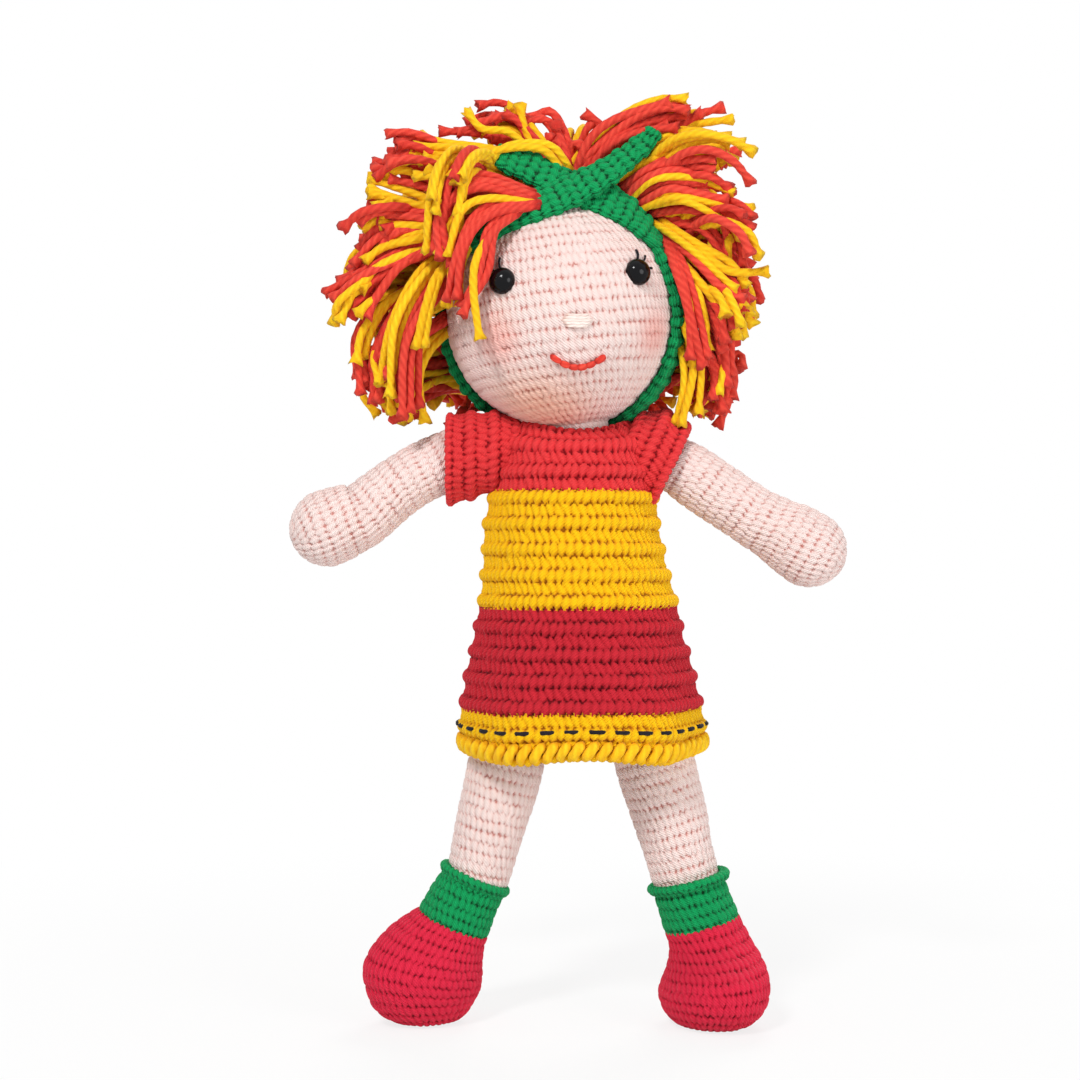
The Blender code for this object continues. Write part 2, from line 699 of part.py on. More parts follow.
def leg_direction(side):
    splay = math.radians(LEG_SPLAY_DEGREES[side])
    return Vector((SIDES[side] * math.sin(splay), 0, -math.cos(splay)))


def leg_course(side, shrink=0):
    """A ball at the hip, then the leg drawn in to the ankle."""
    down = leg_direction(side)
    course = ball_start(HIP_BALL_R - shrink, LEG_OPENING_R, (1, 0.85, 0.55, 0.25))
    top, ankle = LEG_TOP_R[side] - shrink, LEG_ANKLE_R[side] - shrink
    length = LEG_LENGTH[side]
    course += [(0, HIP_BALL_R - shrink), (length / 3, top),
               (length * 2 / 3, (top + ankle) / 2), (length, ankle)]
    return [HIP_AT[side] + down * a for a, _ in course], [r for _, r in course]


def hip_room(side):
    """What the hip's ball and the swung leg need cut from the body."""
    pivot = HIP_AT[side]
    tools = [cutter(f"hip_{side}_ball", ball(pivot, HIP_BALL_R + 2 * BALL_FIT, 16))]
    for swing in (-LEG_SWING_DEGREES, 0, LEG_SWING_DEGREES):
        down = Matrix.Rotation(math.radians(swing), 3, "X") @ leg_direction(side)
        radii = [HIP_BALL_R + BALL_FIT] * 2
        room = tube_mesh([pivot, pivot + down * LEG_ROOM], radii, LEG_SIDES_ROUND)
        tools.append(cutter(f"leg_{side}_room_{swing:.0f}", room))
    return tools


def down_leg(side, past=0):
    """A place on the leg's line, past its end by the given length."""
    return HIP_AT[side] + leg_direction(side) * (LEG_LENGTH[side] + past)


def shaft_top(side):
    return down_leg(side, 2 * (CUFF_R + SEAT))


def foot_x(side):
    """Where the leg's line, bending upright, comes down to the top of the foot."""
    top = shaft_top(side)
    lean = math.tan(math.radians(LEG_SPLAY_DEGREES[side])) / 2
    return top.x + SIDES[side] * lean * (top.z - BOOT_FOOT_TOP_Z)


def make_leg(side):
    pivot = HIP_AT[side]
    course = leg_course(side)
    cover = shell_of(course, LEG_SIDES_ROUND, closed_end=False)
    thicken(add(f"leg_{side}_cover", cover, "skin yarn", pivot))
    core = tube_mesh(*leg_course(side, WALL + 2 * SEAT), LEG_SIDES_ROUND)
    add(f"leg_{side}_stuffing", core, "stuffing", pivot)


def shaft_course(side, shrink=0):
    """The boot's shaft goes on along the leg and bends to stand over the foot."""
    down, top = leg_direction(side), shaft_top(side)
    foot = Vector((foot_x(side), 0, BOOT_FOOT_TOP_Z + SEAT))
    inner, outer = LEG_ANKLE_R[side] - shrink, BOOT_SHAFT_R[side] - shrink
    points = [top, top + down * CUFF_R, (top + foot) / 2, foot + Vector((0, 0, CUFF_R)), foot]
    return points, [inner, (inner + outer) / 2, outer, outer, outer]


def foot_profile(side):
    """The foot's half width from the ankle down to the flat sole, as (radius, height)."""
    ankle, wide = BOOT_SHAFT_R[side], FOOT_HALF_WIDTH
    stations = [(ankle, BOOT_FOOT_TOP_Z), ((ankle + wide) / 2, (BOOT_FOOT_TOP_Z + FOOT_MID_Z) / 2),
                (wide, FOOT_MID_Z), ((wide * 2 + SOLE_R) / 3, FOOT_MID_Z / 3)]
    curve = [tuple(point) for point in smooth(stations, 2)]
    return [*curve, (SOLE_R + WALL, WALL / 2), (SOLE_R, 0), (0, 0)]


def set_on_foot(mesh, side):
    """Draws a turned foot out to its toe, turns it outwards and leans it away from its leg."""
    stretch = FOOT_HALF_LENGTH / FOOT_HALF_WIDTH - 1
    toe_out = Matrix.Rotation(math.radians(TOE_OUT_DEGREES[side]) * SIDES[side], 3, "Z")
    for vertex in mesh.vertices:
        down = (BOOT_FOOT_TOP_Z - vertex.co.z) / (BOOT_FOOT_TOP_Z - FOOT_MID_Z)
        share = min(max(down, 0), 1)
        share = share * share * (2 - share)
        vertex.co.y = vertex.co.y * (1 + stretch * share) - FOOT_FORWARD * share
        vertex.co = toe_out @ vertex.co
        vertex.co.x += foot_x(side) + SIDES[side] * FOOT_ASIDE[side] * share
    return mesh


def make_boot(side):
    pivot = HIP_AT[side]
    course = shaft_course(side)
    shaft = shell_of(course, LEG_SIDES_ROUND, closed_end=False)
    thicken(add(f"boot_{side}_shaft", shaft, "green yarn", pivot))
    profile = foot_profile(side)
    foot = set_on_foot(turned_mesh(profile, FOOT_STEPS), side)
    thicken(add(f"boot_{side}_foot", foot, "crimson yarn", pivot))
    core = set_on_foot(turned_mesh(inset(profile, WALL + 6 * SEAT), FOOT_STEPS), side)
    add(f"boot_{side}_stuffing", core, "stuffing", pivot)
    points, radii = shaft_course(side, WALL + 3 * SEAT)
    neck = min(CUFF_RING_R[side] - CUFF_R - 2 * SEAT, radii[0])
    points = [down_leg(side, SEAT), points[0], *points[1:]]
    filling = tube_mesh(points, [neck, neck, *radii[1:]], LEG_SIDES_ROUND)
    add(f"ankle_{side}_stuffing", filling, "stuffing", pivot)
    roll = [(CUFF_RING_R[side] + CUFF_R * math.cos(math.radians(a)),
             CUFF_R * math.sin(math.radians(a))) for a in range(90, -271, -45)]
    cuff = turned_mesh(roll, 4 * LEG_SIDES_ROUND)
    cuff.transform(looking(-leg_direction(side), down_leg(side, CUFF_R + SEAT)))
    add(f"boot_{side}_cuff", cuff, "green yarn", pivot)


def lock_course(roll, behind, middle, tip, thick_share):
    """A lock stands off the scalp, swells, and hangs through its middle to its cut end."""
    out = rolled(roll, edge_at(roll) + behind)
    root = HEAD_AT + out * (HEAD_R - WALL)
    stand = root + out * HAIR_STAND
    middle = HEAD_AT + Vector(middle) * HAIR_REACH
    tip = HEAD_AT + Vector(tip) * HAIR_REACH
    bend = (middle * 8 - root - stand * 3 - tip) / 3
    points, radii = [], []
    for i in range(HAIR_POINTS):
        t = i / (HAIR_POINTS - 1)
        rise, fall = stand * 3 * t * (1 - t) ** 2, bend * 3 * t**2 * (1 - t)
        points.append(root * (1 - t) ** 3 + rise + fall + tip * t**3)
        swell = min(1, t / HAIR_SWELL_SHARE)
        draw = max(0, (t - HAIR_DRAW_SHARE) / (1 - HAIR_DRAW_SHARE))
        radius = HAIR_ROOT_R + (HAIR_LOCK_R * thick_share - HAIR_ROOT_R) * swell
        radii.append(radius - HAIR_TIP_DRAW * draw)
    return points, radii


def make_hair():
    for number, shares in enumerate(HAIR_SHARES, 1):
        yarn = "amber yarn" if number % 3 == 0 else "coral yarn"
        mesh = tube_mesh(*lock_course(*shares), 1)
        lock = add(f"hair_lock_{number:02d}", mesh, yarn, HEAD_AT)
        cut(lock, head_seat)


clear_scene()
parts, cutters = collection("yarn doll"), collection("cutters")
doll_root = bpy.data.objects.new("doll_root", None)
doll_root.location = (0, DOLL_Y, 0)
parts.objects.link(doll_root)
head_seat = cutter("head_seat", head_room())
shoulder_cutters = [tool for side in SIDES for tool in shoulder_room(side)]
hip_cutters = [tool for side in SIDES for tool in hip_room(side)]
make_head()
make_nose_and_mouth()
make_headband()
make_torso()
make_dress()
for side in SIDES:
    make_arm(side)
    make_leg(side)
    make_boot(side)
make_hair()
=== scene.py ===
"""A crocheted yarn doll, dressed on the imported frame: stitched skins, a dress in bands, boots, a
knotted headband and a mop of cut yarn. Lengths in the making are in millimetres, and make_mesh
turns them to metres. Left and right are the viewer's, with the face towards -Y."""

import json
import math
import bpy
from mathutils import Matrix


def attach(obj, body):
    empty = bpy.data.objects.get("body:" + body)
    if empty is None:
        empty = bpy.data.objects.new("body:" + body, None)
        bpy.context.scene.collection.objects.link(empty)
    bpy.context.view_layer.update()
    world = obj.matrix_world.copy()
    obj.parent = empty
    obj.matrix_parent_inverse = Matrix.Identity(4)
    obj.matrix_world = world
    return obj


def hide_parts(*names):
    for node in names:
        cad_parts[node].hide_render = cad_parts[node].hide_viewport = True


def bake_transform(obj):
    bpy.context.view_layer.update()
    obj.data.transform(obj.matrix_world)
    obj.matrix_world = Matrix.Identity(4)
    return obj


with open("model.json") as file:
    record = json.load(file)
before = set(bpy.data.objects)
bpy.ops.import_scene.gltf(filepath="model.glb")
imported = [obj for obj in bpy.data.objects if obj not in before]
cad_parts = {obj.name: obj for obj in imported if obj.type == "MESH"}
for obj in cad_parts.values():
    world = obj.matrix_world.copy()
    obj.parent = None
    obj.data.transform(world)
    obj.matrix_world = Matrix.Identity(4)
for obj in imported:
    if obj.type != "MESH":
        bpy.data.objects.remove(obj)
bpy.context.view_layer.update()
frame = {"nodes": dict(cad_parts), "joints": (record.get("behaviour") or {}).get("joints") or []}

import bpy
import numpy as np
from mathutils import Vector

MM = 0.001
SIDES = {"left": -1.0, "right": 1.0}


def joint_at(name):
    joint = next(j for j in frame["joints"] if j["name"] == name)
    return np.array(joint["pos_m"]) / MM


HEAD_AT = joint_at("head_turn")
HEAD_R = 40.2
DOLL_Y = HEAD_AT[1]
SHOULDER = {side: joint_at(f"arm_{side}_raise") for side in SIDES}
HIP = {side: joint_at(f"leg_{side}_swing") for side in SIDES}

# Camera, light and floor

CAMERA_BACK = 750.0
PHOTO_WIDTH = 378.0
CAMERA_X, CAMERA_Z = -9.8, 167.8
SENSOR = 36
WORLD_LIGHT = 0.42
camera = bpy.data.objects.new("camera", bpy.data.cameras.new("camera"))
bpy.context.scene.collection.objects.link(camera)
camera.location = (CAMERA_X * MM, (DOLL_Y - CAMERA_BACK) * MM, CAMERA_Z * MM)
camera.rotation_euler = (math.radians(90), 0, 0)
camera.data.sensor_width = SENSOR
camera.data.lens = SENSOR * CAMERA_BACK / PHOTO_WIDTH
camera.data.clip_start, camera.data.clip_end = 0.01, 100
bpy.context.scene.camera = camera
bpy.context.scene.view_settings.view_transform = "Standard"


def area_light(name, at, size, power):
    data = bpy.data.lights.new(name, "AREA")
    data.shape, data.size, data.energy = "DISK", size, power
    lamp = bpy.data.objects.new(name, data)
    lamp.location = at
    aim = Vector((0, 0, 0.17)) - Vector(at)
    lamp.rotation_euler = aim.to_track_quat("-Z", "Y").to_euler()
    bpy.context.scene.collection.objects.link(lamp)


area_light("key", (-0.55, -1.20, 1.25), 0.32, 15.4)
area_light("fill", (1.15, -1.15, 0.45), 0.9, 9.2)
area_light("back", (0.3, 1.2, 1.1), 0.8, 9)


def fed(tree, made, values):
    """A node with its inputs set, or linked where a value is another node's output."""
    for key, value in dict(values).items():
        if isinstance(value, (int, float, tuple)):
            made.inputs[key].default_value = value
        else:
            tree.links.new(value, made.inputs[key])
    return made


def add(tree, kind, values=(), **settings):
    made = tree.nodes.new("ShaderNode" + kind)
    for key, value in settings.items():
        setattr(made, key, value)
    return fed(tree, made, values)


def math_node(tree, operation, *values):
    return add(tree, "Math", enumerate(values), operation=operation).outputs[0]


def eye_rays(tree):
    """1 for what the camera sees, also in a shine or through glass."""
    path = add(tree, "LightPath").outputs
    beyond = math_node(tree, "MAXIMUM", path["Is Glossy Ray"], path["Is Transmission Ray"])
    return math_node(tree, "MAXIMUM", path["Is Camera Ray"], beyond)


world = bpy.data.worlds.new("studio")
bpy.context.scene.world = world
world.use_nodes = True
tree = world.node_tree
tree.nodes.clear()
lit, shown = (add(tree, "Background", {"Color": (1, 1, 1, 1), "Strength": strength})
              for strength in (WORLD_LIGHT, 1.0))
mix = add(tree, "MixShader", {0: eye_rays(tree), 1: lit.outputs[0], 2: shown.outputs[0]})
add(tree, "OutputWorld", {"Surface": mix.outputs[0]})

FLOOR_HALF = 6
floor_mesh = bpy.data.meshes.new("floor")
floor_mesh.from_pydata([(x * FLOOR_HALF, y * FLOOR_HALF, 0) for x, y in (
    (-1, -1), (1, -1), (1, 1), (-1, 1))], [], [(0, 1, 2, 3)])
floor = bpy.data.objects.new("floor", floor_mesh)
bpy.context.scene.collection.objects.link(floor)
pale = bpy.data.materials.new("pale floor")
pale.use_nodes = True
tree = pale.node_tree
diffuse = fed(tree, tree.nodes["Principled BSDF"], {
    "Base Color": (0.9, 0.9, 0.9, 1), "Roughness": 0.9, "Specular IOR Level": 0.1})
white = add(tree, "Emission", {"Strength": 1.0})
away = add(tree, "VectorMath", {0: add(tree, "TexCoord").outputs["Object"]}, operation="LENGTH")
share = add(tree, "MapRange", {
    "Value": away.outputs["Value"], "From Min": 0.08, "From Max": 0.45, "To Min": 0.80,
    "To Max": 1.0}, interpolation_type="SMOOTHSTEP")
blend = add(tree, "MixShader", {
    0: math_node(tree, "MULTIPLY", eye_rays(tree), share.outputs[0]), 1: diffuse.outputs[0],
    2: white.outputs[0]})
fed(tree, tree.nodes["Material Output"], {"Surface": blend.outputs[0]})
floor_mesh.materials.append(pale)

# Materials


def srgb(r, g, b):
    """A 0 to 255 screen colour as linear values."""
    return tuple(
        (c / 12.92 if c <= 0.04045 else ((c + 0.055) / 1.055) ** 2.4)
        for c in (r / 255, g / 255, b / 255)
    ) + (1.0,)


def mixed(tree, factor, low, high, kind="MIX"):
    return add(tree, "Mix", {0: factor, 6: low, 7: high}, data_type="RGBA", blend_type=kind,
               clamp_factor=True).outputs[2]


def facing(azimuth, elevation):
    """The direction from the head's centre, from the front to the right and then up."""
    a, e = math.radians(azimuth), math.radians(elevation)
    return np.array((math.sin(a) * math.cos(e), -math.cos(a) * math.cos(e), math.sin(e)))


def blushed_and_shaded(tree, place, body, way, radius, colour, weight):
    """Colour dabbed on the face, fading out from its middle: blush on the cheeks, painted warm shade
    under the chin.
    """
    gap = add(tree, "VectorMath", {
        0: place.outputs["Object"], 1: tuple((HEAD_AT + HEAD_R * way) * MM)},
        operation="DISTANCE")
    fade = add(tree, "MapRange", {
        "Value": gap.outputs["Value"], "From Min": radius * MM, "From Max": 0.0,
        "To Max": weight}, interpolation_type="SMOOTHERSTEP")
    return mixed(tree, fade.outputs[0], body, colour, "MULTIPLY")


def new_material(name, values):
    """A material, its node tree and its shader, with the shader's inputs set."""
    made = bpy.data.materials.new(name)
    made.use_nodes = True
    tree = made.node_tree
    return made, tree, fed(tree, tree.nodes["Principled BSDF"], values)


def bumped(tree, shader, height, strength, distance):
    bump = add(tree, "Bump", {"Strength": strength, "Distance": distance, "Height": height})
    tree.links.new(bump.outputs[0], shader.inputs["Normal"])


def yarn_material(name, light, deep_shade, hole_shade, kind, blush_and_shade=(), ply_groove_shade=0.10):
    """Plied cotton with painted shade. The deep shade colour shows low in a stitch, the hole shade
    colour between stitches.
    """
    made, tree, shader = new_material(name, {
        "Roughness": 0.8, "Specular IOR Level": 0.2, "Sheen Weight": 0.05,
        "Sheen Roughness": 0.5})
    lay, tone = (add(tree, "Attribute", attribute_name=key).outputs["Fac"]
                 for key in ("lay", "tone"))
    axes = add(tree, "SeparateXYZ", {0: add(tree, "UVMap", uv_map="UVMap").outputs[0]})
    u, v = axes.outputs[0], axes.outputs[1]
    if kind == "stitch":
        phase = math_node(tree, "ADD", math_node(tree, "MULTIPLY", u, 4.0),
                          math_node(tree, "MULTIPLY", v, 4.0))
    else:
        phase = math_node(tree, "ADD", math_node(tree, "MULTIPLY", u, 3.0), v)
    ply = math_node(tree, "SINE", math_node(tree, "MULTIPLY", phase, 2 * math.pi))
    place = add(tree, "TexCoord")
    fuzz, cloud = (add(tree, "TexNoise", {
        "Scale": scale, "Detail": detail, "Vector": place.outputs["Object"]}).outputs["Fac"]
        for scale, detail in ((1900, 3), (110, 2)))
    # Painted shade: low yarn takes the deep shade colour, the holes between stitches the hole shade
    # colour
    low = mixed(tree, math_node(tree, "MULTIPLY", lay, 2.2), hole_shade, deep_shade)
    body = mixed(tree, math_node(tree, "MULTIPLY_ADD", lay, 1.3, -0.15), low, light)
    # Painted shade in the grooves between the plies
    body = mixed(tree, math_node(tree, "MULTIPLY_ADD", ply, -ply_groove_shade, ply_groove_shade), body, deep_shade)
    shade = math_node(tree, "MULTIPLY_ADD", tone, 0.55, math_node(tree, "MULTIPLY", cloud, 0.45))
    body = mixed(tree, math_node(tree, "MULTIPLY", shade, 0.32), body, deep_shade)
    for way, radius, colour, weight in blush_and_shade:
        body = blushed_and_shaded(tree, place, body, way, radius, colour, weight)
    tree.links.new(body, shader.inputs["Base Color"])
    bumped(tree, shader, math_node(tree, "MULTIPLY_ADD", ply, 0.5, math_node(
        tree, "MULTIPLY", fuzz, 0.7)), 0.6, 0.0004)
    return made


def bead_material():
    """Polished black plastic with faint wipes in its gloss."""
    made, tree, shader = new_material("black bead", {
        "Base Color": (0.002, 0.002, 0.003, 1), "Specular IOR Level": 0.18})
    smudge = add(tree, "TexNoise", {"Scale": 400}).outputs["Fac"]
    spread = add(tree, "MapRange", {"To Min": 0.09, "To Max": 0.15, "Value": smudge})
    tree.links.new(spread.outputs[0], shader.inputs["Roughness"])
    bumped(tree, shader, smudge, 0.05, 0.0001)
    return made


# Blush on both cheeks, then painted warm shade under the chin
BLUSH_AND_CHIN_SHADE = (
    (facing(-35, -17), 15.0, srgb(255, 165, 150), 0.45),
    (facing(52, -13), 14.0, srgb(255, 165, 150), 0.45),
    # Painted warm shade under the chin, next to the dress
    (facing(-20, -60), 30.0, srgb(255, 205, 170), 0.7),
)
# The skin yarn's own colour, then its painted shade colours low in a stitch and between stitches
SKIN = ((249, 234, 229), (232, 190, 182), (200, 122, 112))
# The yarn's own colour, then the painted shade colours low in a stitch and in the holes between
# stitches, of each yarn worked in stitches
STITCHED = {
    "skin": SKIN,
    "face": SKIN,
    "coral": ((235, 64, 66), (194, 22, 32), (104, 2, 12)),
    "golden": ((255, 206, 0), (222, 148, 0), (140, 72, 0)),
    "crimson": ((212, 40, 54), (152, 10, 28), (72, 0, 10)),
    "rose": ((234, 42, 74), (190, 16, 48), (100, 0, 20)),
    "green": ((0, 168, 94), (0, 112, 60), (0, 42, 20)),
}
# The same of each yarn that shows as a strand, after its name and how dark the painted shade in its
# plies' grooves is
STRANDED = {
    "coral strand": ("coral yarn", 0.26, (244, 84, 66), (192, 36, 30), (120, 10, 12)),
    "amber strand": ("amber yarn", 0.24, (255, 214, 34), (236, 164, 0), (160, 92, 0)),
    "skin strand": ("skin yarn", 0.10, (255, 243, 236), (240, 205, 192), (210, 150, 135)),
    "black strand": ("black thread", 0.10, (34, 30, 38), (16, 14, 18), (4, 4, 6)),
}
MATERIALS = {"bead": bead_material()}
for key, colours in STITCHED.items():
    MATERIALS[key] = yarn_material(f"{key} yarn stitches", *(srgb(*c) for c in colours), "stitch",
                                   BLUSH_AND_CHIN_SHADE if key == "face" else ())
for key, (name, ply_groove_shade, *colours) in STRANDED.items():
    MATERIALS[key] = yarn_material(name, *(srgb(*c) for c in colours), "strand",
                                   ply_groove_shade=ply_groove_shade)

# Mesh making


def finished(name, mesh, material, body, replaces, attributes):
    """The object of a mesh, with its material and place in the frame."""
    mesh.materials.append(MATERIALS[material])
    for key, values in attributes.items():
        made = mesh.attributes.new(key, "FLOAT", "POINT")
        made.data.foreach_set("value", values.astype(np.float32).ravel())
    mesh.shade_smooth()
    obj = bpy.data.objects.new(name, mesh)
    bpy.context.scene.collection.objects.link(obj)
    if body:
        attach(obj, body)
    if replaces:
        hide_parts(*replaces)
    return obj


def make_mesh(name, points, faces, material, body, slot, replaces=(), uv=None, **attributes):
    mesh = bpy.data.meshes.new(name)
    mesh.from_pydata((points * MM).tolist(), [], faces if isinstance(faces, list) else faces.tolist())
    if uv is not None:
        mesh.uv_layers.new(name="UVMap").data.foreach_set("uv", uv.astype(np.float32).ravel())
    return finished(name, mesh, material, body, replaces, attributes)


def resampled(stations, count):
    """Stations, one row each, read at even steps along a smooth curve through them."""
    stations = np.array(stations, float)
    knots = np.vstack([2 * stations[0] - stations[1], stations, 2 * stations[-1] - stations[-2]])
    t = np.linspace(0, 1, 16, endpoint=False)[:, None]
    fine = []
    for a, b, c, d in zip(knots, knots[1:], knots[2:], knots[3:]):
        fine.append((2 * b + (c - a) * t + (2 * a - 5 * b + 4 * c - d) * t**2
                     + (3 * b - a - 3 * c + d) * t**3) / 2)
    fine = np.vstack([*fine, stations[-1:]])
    steps = np.linalg.norm(np.diff(fine[:, :3], axis=0), axis=1)
    if fine.shape[1] > 3:
        steps = np.hypot(steps, np.abs(np.diff(fine[:, 3])))
    run = np.concatenate([[0], np.cumsum(steps + 1e-9)])
    at = np.linspace(0, run[-1], count)
    return np.stack([np.interp(at, run, column) for column in fine.T], 1), run[-1]


def noise_table(seed, shape):
    return np.random.default_rng(seed).random(shape)


def lump_field(points, seed):
    """Soft stuffing lumps, from about -1 to 1."""
    total = np.zeros(points.shape[:2])
    for dx, dy, dz, phase in noise_table(seed + 5, (6, 4)):
        wave = np.array([dx - 0.5, dy - 0.5, dz - 0.5])
        wave = wave / (np.linalg.norm(wave) + 1e-9) * (2 * math.pi / (16 + 22 * phase))
        total += np.sin(points @ wave + 6.3 * phase)
    return total / 6


def beside(b, centre):
    """How far a place in a stitch lies from a line that each stitch repeats."""
    return np.abs((b - centre + 0.5) % 1 - 0.5)


def legs_of(a, b, lean, dip):
    """The upright legs of a row of stitches as yarn heights 0 to 1, with holes at their feet."""
    place = 2 * (b + lean * (a - 0.5) * (0.6 + 0.4 * np.cos(2 * math.pi * b)))
    gap = beside(place, 0.5)
    ends = (np.abs(a - 0.5) * 2) ** 4 * (dip + 5.4 * gap**2)
    return np.sqrt(np.clip(1 - (gap / 0.57) ** 2 - ends, 0, 1))


def square_to(axis):
    """Rings that all lie square to one axis, also where a wall turns back inside."""
    across = np.cross((0, 1.0, 0), axis)
    return lambda rings: (np.tile(across, (len(rings), 1)), np.tile((0, 1.0, 0), (len(rings), 1)))


def skin(name, stations, material, body, slot, replaces=(), pitch=4.5, row=3.8, relief=1.1,
         turned=False, res=7, fine=10, seed=1, frames=None, lumps=0.5, power=2.0, shape=None,
         pieces=None):
    """A crocheted tube through rings of (x, y, z, radius across, radius front to back).

    turned works every other row the other way; frames gives each ring's two axes; shape moves
    the plain skin; pieces cuts the rows into objects of their own."""
    length = resampled(stations, 2)[1]
    rows = max(2, round(length / row))
    count = rows * res + 1
    rings = resampled(stations, count)[0]
    centre, r1, r2 = rings[:, :3], np.maximum(rings[:, 3], 0.05), np.maximum(rings[:, 4], 0.05)
    if frames is None:
        along = np.gradient(centre, axis=0)
        along /= np.linalg.norm(along, axis=1)[:, None] + 1e-12
        e2 = np.array([0, 1.0, 0]) - along * along[:, 1:2]
        e2 /= np.linalg.norm(e2, axis=1)[:, None]
        e1 = np.cross(e2, along)
    else:
        e1, e2 = frames(rings)
    girth = 2 * math.pi * np.sqrt((r1**2 + r2**2) / 2)
    per_row = np.array([
        max(5, round(float(girth[k * res:(k + 1) * res + 1].mean()) / pitch)) for k in range(rows)
    ])
    sides = int(per_row.max()) * fine
    turn = 2 * math.pi * np.arange(sides) / sides
    cos, sin = np.cos(turn), np.sin(turn)
    if power != 2.0:
        size = (np.abs(cos) ** power + np.abs(sin) ** power) ** (-1 / power)
        cos, sin = cos * size, sin * size
    points = (centre[:, None, :] + (r1[:, None] * cos)[:, :, None] * e1[:, None, :]
              + (r2[:, None] * sin)[:, :, None] * e2[:, None, :])
    if shape is not None:
        points = shape(points)
    du = np.gradient(points, axis=0)
    dv = np.roll(points, -1, axis=1) - np.roll(points, 1, axis=1)
    normal = np.cross(du, dv)
    normal /= np.linalg.norm(normal, axis=2)[:, :, None] + 1e-9
    outward = np.sum(normal * (points - centre[:, None, :])) > 0
    if not outward:
        normal = -normal
    own = np.minimum(np.arange(count) // res, rows - 1)
    a = np.arange(count) / res - own
    shift = noise_table(seed, rows) * 0.25 + 0.41 * np.arange(rows)
    random = noise_table(seed + 1, (rows, int(per_row.max()) + 1))
    slip = noise_table(seed + 2, (rows, int(per_row.max()) + 1)) - 0.5
    height = np.zeros((count, sides))
    for step in (-1, 0, 1):
        near = np.clip(own + step, 0, rows - 1)
        column = np.arange(sides)[None, :] / sides * per_row[near][:, None] + shift[near][:, None]
        stitch = np.floor(column).astype(int) % per_row[near][:, None]
        wobble = random[near[:, None], stitch]
        b = column - np.floor(column) + 0.12 * (wobble - 0.5)
        at = (a - step)[:, None] + 0.13 * slip[near[:, None], stitch]
        stands = legs_of(at, b, 0.26, 0.52)
        if turned:
            stands = np.where((near % 2 == 1)[:, None], legs_of(at, b, -0.55, 0.8), stands)
        height = np.maximum(height, stands * (0.84 + 0.2 * wobble) * (own + step == near)[:, None])
        if step == 0:
            tone = wobble
    ridge = 0.75 * turned * np.sin(np.pi * (a + own))
    swell = lump_field(points, seed) * lumps + ridge[:, None]
    moved = points + normal * ((height - 0.5) * relief + swell)[:, :, None]
    i, j = np.meshgrid(np.arange(count - 1), np.arange(sides), indexing="ij")
    k = (j + 1) % sides
    if outward:
        corners = [(i, j, 0, 0), (i + 1, j, 1, 0), (i + 1, k, 1, 1), (i, k, 0, 1)]
    else:
        corners = [(i, j, 0, 0), (i, k, 0, 1), (i + 1, k, 1, 1), (i + 1, j, 1, 0)]
    faces = np.stack([c[0] * sides + c[1] for c in corners], 2).reshape(-1, 4)
    face_row = np.minimum(i // res, rows - 1)
    uv = np.stack([
        np.stack([(j + c[3]) / sides * per_row[face_row] + shift[face_row], (i + c[2]) / res], 2)
        for c in corners
    ], 2).reshape(-1, 4, 2)
    flat = moved.reshape(-1, 3)
    data = {"lay": height.ravel(), "tone": tone.ravel()}
    if pieces is None:
        return make_mesh(name, flat, faces, material, body, slot, replaces, uv, **data)
    place = (j + 0.5) / sides * per_row[face_row] + shift[face_row]
    level = (i + 0.5) / res + 0.5 * (beside(2 * place, 0.5) - 0.25)
    for piece, first, last, piece_material, piece_slot, nodes in pieces(rings, rows, res):
        chosen = ((level >= first) & (level < last)).ravel()
        used, index = np.unique(faces[chosen], return_inverse=True)
        make_mesh(piece, flat[used], index.reshape(-1, 4), piece_material, body, piece_slot,
                  nodes, uv[chosen], **{key: value[used] for key, value in data.items()})


def carried_frames(centre):
    """Directions along a line, and one across it that turns as little as it can."""
    along = np.gradient(centre, axis=0)
    along /= np.linalg.norm(along, axis=1)[:, None] + 1e-12
    across = np.zeros_like(centre)
    start = np.array([0.3, 0.2, 0.9]) if abs(along[0, 2]) < 0.9 else np.array([1.0, 0, 0])
    across[0] = start - along[0] * (start @ along[0])
    across[0] /= np.linalg.norm(across[0])
    for n in range(1, len(centre)):
        across[n] = across[n - 1] - along[n] * (across[n - 1] @ along[n])
        across[n] /= np.linalg.norm(across[n]) + 1e-12
    return along, across


